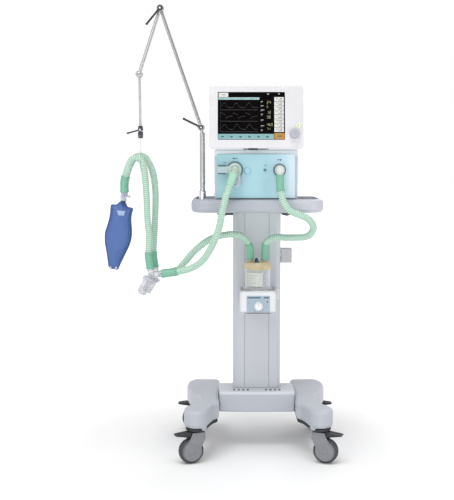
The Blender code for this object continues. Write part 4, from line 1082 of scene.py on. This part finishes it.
kit = Kit("heater_details", "trolley", slot="light_plastic")
kit.add(prism(rounded((-0.0414, 0.0428), (0.5301, 0.5889), 0.003), -0.1508, -0.1496, "y", 0.0003, 1), HEATER_PANEL)
kit.turn([(0.015, 0), (0.0172, 0), (0.0168, 0.0008), (0.0153, 0.0008)], 44, SHELL, (DIAL.x, -0.1506, DIAL.z))
for k in range(9):
    a = math.radians(225 - 270 * k / 8)
    kit.add(box((0.019, 0.0215 + 0.0006 * (k % 2)), (-0.0004, 0.0004), (0, 0.0003)), PRINT,
            Matrix.Translation((DIAL.x, -0.1508, DIAL.z)) @ Matrix.Rotation(math.radians(90), 4, "X")
            @ Matrix.Rotation(a, 4, "Z"))
kit.turn([(0, 0), (0.0026, 0), (0.0022, 0.001), (0, 0.0012)], 20, BLACK, (0.033, -0.1508, 0.5665))
kit.add(prism(rounded((-0.0385, 0.0095), (0.579, 0.5845), 0.001, 2), -0.151, -0.1506), PRINT)
kit.add(prism(rounded((0.02, 0.0395), (0.579, 0.5845), 0.001, 2), -0.151, -0.1506), PRINT)
kit.add(prism([(-0.034, 0.56), (-0.031, 0.56), (-0.0325, 0.568)], -0.151, -0.1506), PRINT)
kit.add(lathe([(0.0566, 0.6056), (0.0592, 0.6056), (0.0592, 0.609), (0.0566, 0.609)], 56), PLATE,
        CHAMBER)
for side in (-1, 1):
    kit.add(prism([(side * 0.053, 0.604), (side * 0.0655, 0.604), (side * 0.0625, 0.6105), (side * 0.056, 0.6125)],
                  -0.108, -0.072, "y", 0.001, 1), PLATE)
kit.add(box((-0.064, 0.064), (-0.1502, -0.033), (0.5262, 0.5272), 0.0003, 1), SHELL)
kit.add(box((-0.046, 0.046), (-0.141, -0.042), (0.5225, 0.5252), 0.0008, 1), RUBBER)
kit.done()

kit = Kit("dial_details", "humidifier_knob", slot="white_plastic")
kit.add(box((DIAL.x - 0.0008, DIAL.x + 0.0008), (DIAL.y - 0.0126, DIAL.y - 0.0118),
            (DIAL.z + 0.001, DIAL.z + 0.0105), 0.0002, 1), UI_GREY)
for k in range(30):
    kit.add(box((0.014, 0.0148), (-0.0005, 0.0005), (0.0012, 0.0096)), WHITE,
            facing(DIAL, (0, -1, 0)) @ Matrix.Rotation(2 * math.pi * k / 30, 4, "Z"))
kit.done()

kit = Kit("chamber_fill", "trolley", slot="clear_plastic")
kit.add(lathe([(0, 0.615), (0.0448, 0.615), (0.0448, 0.643), (0.044, 0.6436), (0, 0.6436)], 48), WATER,
        CHAMBER)
kit.add(lathe([(0.0473, 0.62), (0.0476, 0.62), (0.0476, 0.67), (0.0473, 0.67)], 40, (200.0, 292.0)), LABEL,
        CHAMBER)
for k in range(4):
    kit.add(lathe([(0.0476, 0.658 - 0.009 * k), (0.0478, 0.658 - 0.009 * k), (0.0478, 0.6592 - 0.009 * k),
                   (0.0476, 0.6592 - 0.009 * k)], 24, (208.0, 262.0 - 9 * (k % 3))), UI_GREY,
            CHAMBER)
kit.add(torus(0.0472, 0.0007, 56), MILKY, Matrix.Translation((0, -0.09, 0.677)))
kit.add(torus(0.056, 0.001, 56), MILKY, Matrix.Translation((0, -0.09, 0.6105)))
for k in range(40):
    kit.add(box((0.0486, 0.0495), (-0.0009, 0.0009), (0.683, 0.697), 0.0002, 1), AMBER,
            CHAMBER @ Matrix.Rotation(2 * math.pi * k / 40, 4, "Z"))
for x in (-0.027, 0.026):
    kit.add(torus(0.0114, 0.0008), AMBER, Matrix.Translation((x, -0.09, 0.707)))
kit.add(lathe([(0.0066, 0.7068), (0.0082, 0.7068), (0.0082, 0.71), (0.0066, 0.71)], 24), NAVY,
        Matrix.Translation((-0.005, -0.118, 0)))
kit.add(lathe([(0, 0.7198), (0.003, 0.7198), (0.0036, 0.7215), (0.0024, 0.7232), (0, 0.7235)], 20), NAVY,
        Matrix.Translation((-0.005, -0.118, 0)))
kit.done()

# ---------------------------------------------------------------- support arm
LOW, TOP_JOINT, KINK = Vector((-0.205, 0, 1.192)), Vector((-0.3493, 0, 1.6128)), Vector((-0.4259, 0, 1.3809))
LOWER_Y, UPPER_Y, HALF = -0.0932, -0.1068, 0.0064
ROD_X = -0.4237
STEEL_ARM = brushed("steel_arm", srgb(176, 175, 175), 0.32, (12.0, 30.0, 4.0))
paint(STEEL_UP, "arm_post", "drop_rod")
paint(STEEL_ARM, "arm_lower_tube", "arm_upper_tube")
paint(CHROME, "arm_socket")
paint(BLACK, "lever_low", "lever_top", "lever_clamp")
paint(DARK, "clamp_block")


def bolt(kit, at, y, way):
    """A hex-socket bolt head on its washer."""
    kit.turn([(0, 0), (0.0062, 0), (0.0062, 0.0022), (0.0052, 0.003), (0.0034, 0.003), (0.0034, 0.0012),
              (0, 0.0012)], 24, CHROME, (at.x, y, at.z), (0, way, 0))
    kit.turn([(0.0068, 0), (0.0108, 0), (0.0106, 0.0006), (0.007, 0.0006)], 32, STEEL_UP, (at.x, y, at.z),
             (0, way, 0))


kit = Kit("mast_details", "arm_post", slot="steel")
for z in (0.969, 0.998, 1.14, 1.166):
    kit.add(lathe([(0.009, 0), (0.0098, 0.0006), (0.0098, 0.003), (0.009, 0.0036)], 32), CHROME,
            Matrix.Translation((-0.2003, -0.1, z)))
kit.done()
kit = Kit("lower_arm_details", "arm_lower", slot="steel")
bolt(kit, LOW, LOWER_Y + HALF, 1)
bolt(kit, TOP_JOINT, LOWER_Y + HALF, 1)
way = (TOP_JOINT - LOW).normalized()
for s in (0.016, 0.026, 0.04, 0.405, 0.42):
    at = LOW + way * s
    kit.turn([(0.0062, -0.0016), (0.0071, -0.001), (0.0071, 0.001), (0.0062, 0.0016)], 28, CHROME,
             (at.x, LOWER_Y, at.z), way)
kit.done()
kit = Kit("upper_arm_details", "arm_upper", slot="steel")
way = (KINK - TOP_JOINT).normalized()
bolt(kit, KINK, UPPER_Y - HALF, -1)
for s in (0.018, 0.205, 0.222):
    at = TOP_JOINT + way * s
    kit.turn([(0.0058, -0.0016), (0.0067, -0.001), (0.0067, 0.001), (0.0058, 0.0016)], 28, CHROME,
             (at.x, UPPER_Y, at.z), way)
kit.done()
kit = Kit("drop_details", "arm_drop", slot="steel")
bolt(kit, KINK, LOWER_Y + HALF, 1)
for z, r in ((1.19, 0.0086), (1.162, 0.0094)):
    kit.add(torus(r, 0.0007), STEEL_UP, Matrix.Translation((ROD_X, LOWER_Y, z)))
kit.add(lathe([(0.0092, 1.177), (0.0097, 1.177), (0.0097, 1.1815), (0.0092, 1.1815)], 32), SHELL,
        Matrix.Translation((ROD_X, LOWER_Y, 0)))
kit.add(lathe([(0.0041, 1.201), (0.0052, 1.2018), (0.0052, 1.206), (0.0041, 1.2068)], 24), CHROME,
        Matrix.Translation((ROD_X, LOWER_Y, 0)))
kit.done()
for name, pivot, tip, y, reach in (
        ("lever_low", LOW, Vector((-0.269, 0, 1.2235)), UPPER_Y - HALF - 0.0003, 0.0042),
        ("lever_top", TOP_JOINT, Vector((-0.3985, 0, 1.554)), UPPER_Y - HALF - 0.0003, 0.0042),
        ("lever_clamp", Vector((ROD_X, 0, 1.184)), Vector((-0.471, 0, 1.171)), LOWER_Y - 0.0096, 0.0032)):
    kit = Kit(name + "_details", name, slot="dark_plastic")
    way = (tip - pivot).normalized()
    for s in (0.55, 0.63, 0.71, 0.79, 0.87):
        at = pivot + (tip - pivot) * s
        kit.add(torus(reach - 0.0006, 0.0006, 24, 6), RUBBER, facing((at.x, y - 0.0055, at.z), way))
    kit.turn([(0, 0), (reach, 0.0004), (reach, 0.006), (reach - 0.0012, 0.0072), (0, 0.0074)], 24, BLACK,
             (tip.x - way.x * 0.0066, y - 0.0055, tip.z - way.z * 0.0066), way)
    kit.turn([(0, 0), (0.0036, 0), (0.0036, 0.001), (0.002, 0.0014), (0, 0.0006)], 24, CHROME,
             (pivot.x, y - 0.009, pivot.z))
    kit.done()

# ---------------------------------------------------------------- water traps and Y-piece
for word, at in TRAP_AT.items():
    kit = Kit(f"visual_water_trap_{word}", "traps", slot="clear_plastic")
    down = facing(at, TRAP_DOWN)
    kit.add(lathe([(0.008, 0.008), (0.019, 0.013), (0.0192, 0.024), (0.0186, 0.027), (0.0175, 0.0705),
                   (0.0128, 0.0768), (0.005, 0.078), (0.0, 0.078), (0.0, 0.0766), (0.005, 0.0766),
                   (0.0122, 0.0755), (0.0163, 0.07), (0.0174, 0.028), (0.0174, 0.015), (0.008, 0.0095)], 40),
            CLEAR, down)
    kit.add(lathe([(0.018, 0.0125), (0.0236, 0.0125), (0.024, 0.014), (0.024, 0.0225), (0.0228, 0.024),
                   (0.0196, 0.024), (0.0196, 0.014), (0.018, 0.014)], 44), MILKY, down)
    for k in range(28):
        kit.add(box((0.0234, 0.0243), (-0.0008, 0.0008), (0.0145, 0.022), 0.0002, 1), MILKY,
                down @ Matrix.Rotation(2 * math.pi * k / 28, 4, "Z"))
    kit.add(lathe([(0.0, 0.012), (0.004, 0.012), (0.004, 0.042), (0.003, 0.046), (0.0, 0.046)], 20), MILKY, down)
    kit.add(lathe([(0.0, 0.056), (0.0161, 0.056), (0.0158, 0.07), (0.0118, 0.0748), (0.0, 0.0748)], 36), WATER, down)
    for s in (0.034, 0.05, 0.069):
        kit.add(torus(0.0188 - (s - 0.03) * 0.026, 0.0006, 40, 6), MILKY,
                down @ Matrix.Translation((0, 0, s)))
    kit.add(lathe([(0, -0.0125), (0.0075, -0.011), (0.0118, -0.005), (0.0128, 0.002), (0.012, 0.01),
                   (0.0085, 0.0125), (0, 0.0125)], 32), CLEAR, down)
    for way, reach in ((TRAP_UP, 0.028), (TRAP_SIDE, TRAP_REACH[word])):
        spout = facing(at, way)
        kit.add(lathe([(0.0092, 0.006), (0.0116, 0.006), (0.011, reach), (0.0096, reach)], 32), CLEAR, spout)
        kit.add(torus(0.0118, 0.0009, 36, 8), MILKY, spout @ Matrix.Translation((0, 0, reach - 0.0075)))
    kit.turn([(0, 0), (0.0045, 0), (0.0045, 0.004), (0.003, 0.0055), (0, 0.0055)], 20, MILKY,
             at - TRAP_SIDE * 0.016, -TRAP_SIDE)
    kit.done(f"water_trap_{word}")

LILAC = Finish("lilac_clear", srgb(196, 196, 212), 0.14).drift(0.05, 60.0).patchy(0.05, 60.0).see_through(
    0.55, 0.98, 0.45).mat
paint(LILAC, "y_piece")
kit = Kit("y_details", "circuit", slot="clear_plastic")
for y in (-0.1165, -0.0835):
    kit.add(torus(0.011, 0.0009, 36), LILAC, Matrix.Translation((-0.483, y, 0.957)))
for z in (0.9315, 0.948):
    kit.add(torus(0.0113, 0.0009, 36), LILAC, Matrix.Translation((-0.4868, -0.1, z)))
kit.turn([(0.003, 0), (0.0056, 0), (0.0056, 0.004), (0.003, 0.004)], 24, MILKY, (-0.4655, -0.1, 0.9438),
         (1, 0, -0.2))
kit.add(box((-0.487, -0.478), (-0.1165, -0.0835), (0.95, 0.952), 0.0006, 1), LILAC)
kit.done()

# ---------------------------------------------------------------- test lung bag
# Painted shade: the bag is painted darker towards its rim, where its swelling turns away from the light; the mottle is
# the rubber's own.
BLUE = Finish("bag_rubber", srgb(56, 84, 144), 0.48, Subsurface_Weight=0.06, Subsurface_Scale=0.002)
shade = BLUE.node("ShaderNodeAttribute")
shade.attribute_name = "rim"
mottle = BLUE.noise(28.0, 4.0)
mix = BLUE.node("ShaderNodeMath")
mix.operation = "MULTIPLY_ADD"
mix.inputs[1].default_value = 0.22
BLUE.wire(mottle, mix.inputs[0]).wire(shade.outputs["Fac"], mix.inputs[2])
BLUE.wire(BLUE.ramp(mix.outputs["Value"], [(0.05, srgb(46, 66, 118)), (0.35, srgb(56, 84, 144)),
                                           (1.0, srgb(70, 100, 160))]), BLUE.shader.inputs["Base Color"])
BAG_BLUE = BLUE.patchy(0.07, 60.0).grain(1500.0, 0.16, 0.0002).mat
BAG_LABEL = moulded("bag_label", srgb(150, 168, 198), 0.5)
BAG_LINE = (
    (-0.493, 0.929), (-0.4945, 0.93), (-0.4972, 0.9262), (-0.5043, 0.9236), (-0.5092, 0.9168),
    (-0.5161, 0.9147), (-0.531, 0.9175), (-0.5342, 0.9071), (-0.5359, 0.8793), (-0.5439, 0.848),
    (-0.554, 0.8202), (-0.5566, 0.7993), (-0.5559, 0.7749), (-0.5503, 0.7434), (-0.5455, 0.7049), (-0.5433, 0.6856),
    (-0.5381, 0.6804), (-0.5248, 0.6811), (-0.511, 0.6765), (-0.5064, 0.6821), (-0.5017, 0.6944),
    (-0.4896, 0.7189), (-0.4754, 0.7469), (-0.4612, 0.7784), (-0.4564, 0.8063), (-0.4572, 0.8341),
    (-0.4594, 0.862), (-0.4561, 0.8845), (-0.4504, 0.9008), (-0.4573, 0.9043), (-0.4732, 0.9071),
    (-0.4745, 0.9168), (-0.48, 0.9236), (-0.4822, 0.93), (-0.4835, 0.929),
)
BAG_Y = -0.1


def line_distance(p, line):
    best = 1.0
    for a, b in zip(line, line[1:] + line[:1]):
        ab = b - a
        t = max(0.0, min(1.0, (p - a).dot(ab) / ab.length_squared))
        best = min(best, (p - a - ab * t).length)
    return best


def inside(p, line):
    crossed = False
    for a, b in zip(line, line[1:] + line[:1]):
        if (a.y > p.y) != (b.y > p.y) and p.x < a.x + (p.y - a.y) / (b.y - a.y) * (b.x - a.x):
            crossed = not crossed
    return crossed


def bag_outline(spacing):
    """The moulded edge, rounded at its corners and evenly spaced."""
    line = [Vector(p) for p in BAG_LINE]
    for _ in range(2):
        line = [q for a, b in zip(line, line[1:] + line[:1]) for q in (a.lerp(b, 0.25), a.lerp(b, 0.75))]
    even, run = [], 0.0
    for a, b in zip(line, line[1:] + line[:1]):
        step = (b - a).length
        while run < step:
            even.append(a.lerp(b, run / step))
            run += spacing
        run -= step
    return even


def bag_half(p, rim):
    """Half the bag's thickness at a point: a flat seam, then a swelling that is fullest down the middle."""
    swell = min(max((rim - 0.005) / 0.033, 0.0), 1.0)
    full = math.sqrt(max(1 - (1 - swell) ** 2, 0.0))
    from_neck = min(max((0.925 - p.y) / 0.07, 0.0), 1.0)
    from_foot = min(max((p.y - 0.676) / 0.075, 0.0), 1.0)
    lengthwise = from_neck ** 0.7 * from_foot ** 0.8
    crease = 0.0011 * math.sin(p.x * 430 + 3 * math.sin(p.y * 60)) * max(0.0, 1 - abs(p.y - 0.902) / 0.035)
    crease += 0.0009 * math.sin(p.x * 520) * max(0.0, 1 - abs(p.y - 0.7) / 0.03)
    soft = 0.0016 * noise.noise(Vector((p.x * 28, p.y * 22, 3.7)))
    return 0.0013 + full * (0.0235 * lengthwise + soft) + crease * swell * 2


outline = bag_outline(0.0026)
points = list(outline)
edges = [(k, (k + 1) % len(outline)) for k in range(len(outline))]
step = 0.003
for i in range(42):
    for j in range(92):
        p = Vector((-0.562 + step * (i + 0.5 * (j % 2)), 0.668 + step * j))
        if inside(p, outline) and line_distance(p, outline) > 0.0016:
            points.append(p)
flat, _, faces, _, _, _ = geometry.delaunay_2d_cdt(points, edges, [], 1, 1e-6)
rims = [line_distance(p, outline) for p in flat]
bm = bmesh.new()
sheets = []
for way in (-1, 1):
    sheets.append([bm.verts.new((p.x, BAG_Y + way * bag_half(p, rim), p.y)) for p, rim in zip(flat, rims)])
for sheet in sheets:
    for corners in faces:
        bm.faces.new([sheet[k] for k in corners])
counts = {}
for corners in faces:
    for a, b in zip(corners, (*corners[1:], corners[0])):
        counts[frozenset((a, b))] = counts.get(frozenset((a, b)), 0) + 1
for pair, count in counts.items():
    if count == 1:
        a, b = pair
        bm.faces.new((sheets[0][a], sheets[0][b], sheets[1][b], sheets[1][a]))
bm.transform(PLACE)
bag = piece("visual_test_lung", bm, BAG_BLUE, 60.0)
rim_map = bag.data.attributes.new("rim", "FLOAT", "POINT")
rim_map.data.foreach_set("value", [min(rim / 0.016, 1.0) for rim in rims] * 2)
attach(bag, "circuit")
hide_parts("test_lung")

kit = Kit("bag_details", "circuit", slot="bag_rubber")
kit.add(lathe([(0, 0.0), (0.0088, 0.0), (0.0082, 0.005), (0.0064, 0.008), (0.006, 0.0125), (0.0094, 0.015),
               (0.0096, 0.0205), (0, 0.0205)], 32), BAG_BLUE, Matrix.Translation((-0.4883, BAG_Y, 0.9085)))
kit.add(torus(0.0092, 0.001, 36), BAG_BLUE, Matrix.Translation((-0.488, BAG_Y, 0.9262)))
skin = BVHTree.FromObject(bag, bpy.context.evaluated_depsgraph_get())


def on_bag(x, z, out):
    """A point just outside the bag's front skin."""
    hit = skin.ray_cast(SHIFT + Vector((x, BAG_Y - 0.08, z)), Vector((0, 1, 0)))[0]
    return Vector((x, hit.y - SHIFT.y - out, z))


label = bmesh.new()
levels = []
for k in range(9):
    v = k / 8
    half = 0.015 - 0.0048 * v
    spots = [(-0.495 + 0.001 * v + half * (j / 6 - 1), 0.8935 - 0.001 * (j / 6 - 1) - 0.017 * v)
             for j in range(13)]
    levels.append([[label.verts.new(on_bag(x, z, out)) for x, z in spots] for out in (0.0007, -0.0004)])
for top, low in zip(levels, levels[1:]):
    for j in range(12):
        label.faces.new((top[0][j], top[0][j + 1], low[0][j + 1], low[0][j]))
        label.faces.new((top[1][j], top[1][j + 1], low[1][j + 1], low[1][j]))
    for j in (0, 12):
        label.faces.new((top[0][j], low[0][j], low[1][j], top[1][j]))
for level in (levels[0], levels[-1]):
    for j in range(12):
        label.faces.new((level[0][j], level[0][j + 1], level[1][j + 1], level[1][j]))
kit.add(label, BAG_LABEL)
for x, z in ((-0.5365, 0.6862), (-0.516, 0.6852)):
    kit.turn([(0.0012, -0.0046), (0.0036, -0.0042), (0.004, 0.0), (0.0036, 0.0042), (0.0012, 0.0046)], 24, WHITE,
             (x, BAG_Y, z))
kit.done()

# ---------------------------------------------------------------- floor
floor_bm = bmesh.new()
bmesh.ops.create_circle(floor_bm, cap_ends=True, segments=96, radius=40.0)
# Painted light and shade: the floor glows more the further it lies from the trolley, so it reads darker around the
# trolley.
floor_look = Finish("floor", (0.84, 0.84, 0.845), 0.9, Emission_Strength=0.1)
floor_look.set("Emission Color", (1.0, 1.0, 1.0, 1.0))
reach = floor_look.node("ShaderNodeVectorMath")
reach.operation = "LENGTH"
floor_look.wire(floor_look.place, reach.inputs[0])
painted_glow_by_distance = floor_look.node("ShaderNodeMapRange", From_Min=0.55, From_Max=1.6, To_Min=0.02, To_Max=0.35)
floor_look.wire(reach.outputs["Value"], painted_glow_by_distance.inputs["Value"])
floor_look.wire(painted_glow_by_distance.outputs["Result"], floor_look.shader.inputs["Emission Strength"])
floor = piece("floor", floor_bm, floor_look.drift(0.006, 0.6).mat)
floor.location.z = -0.0004
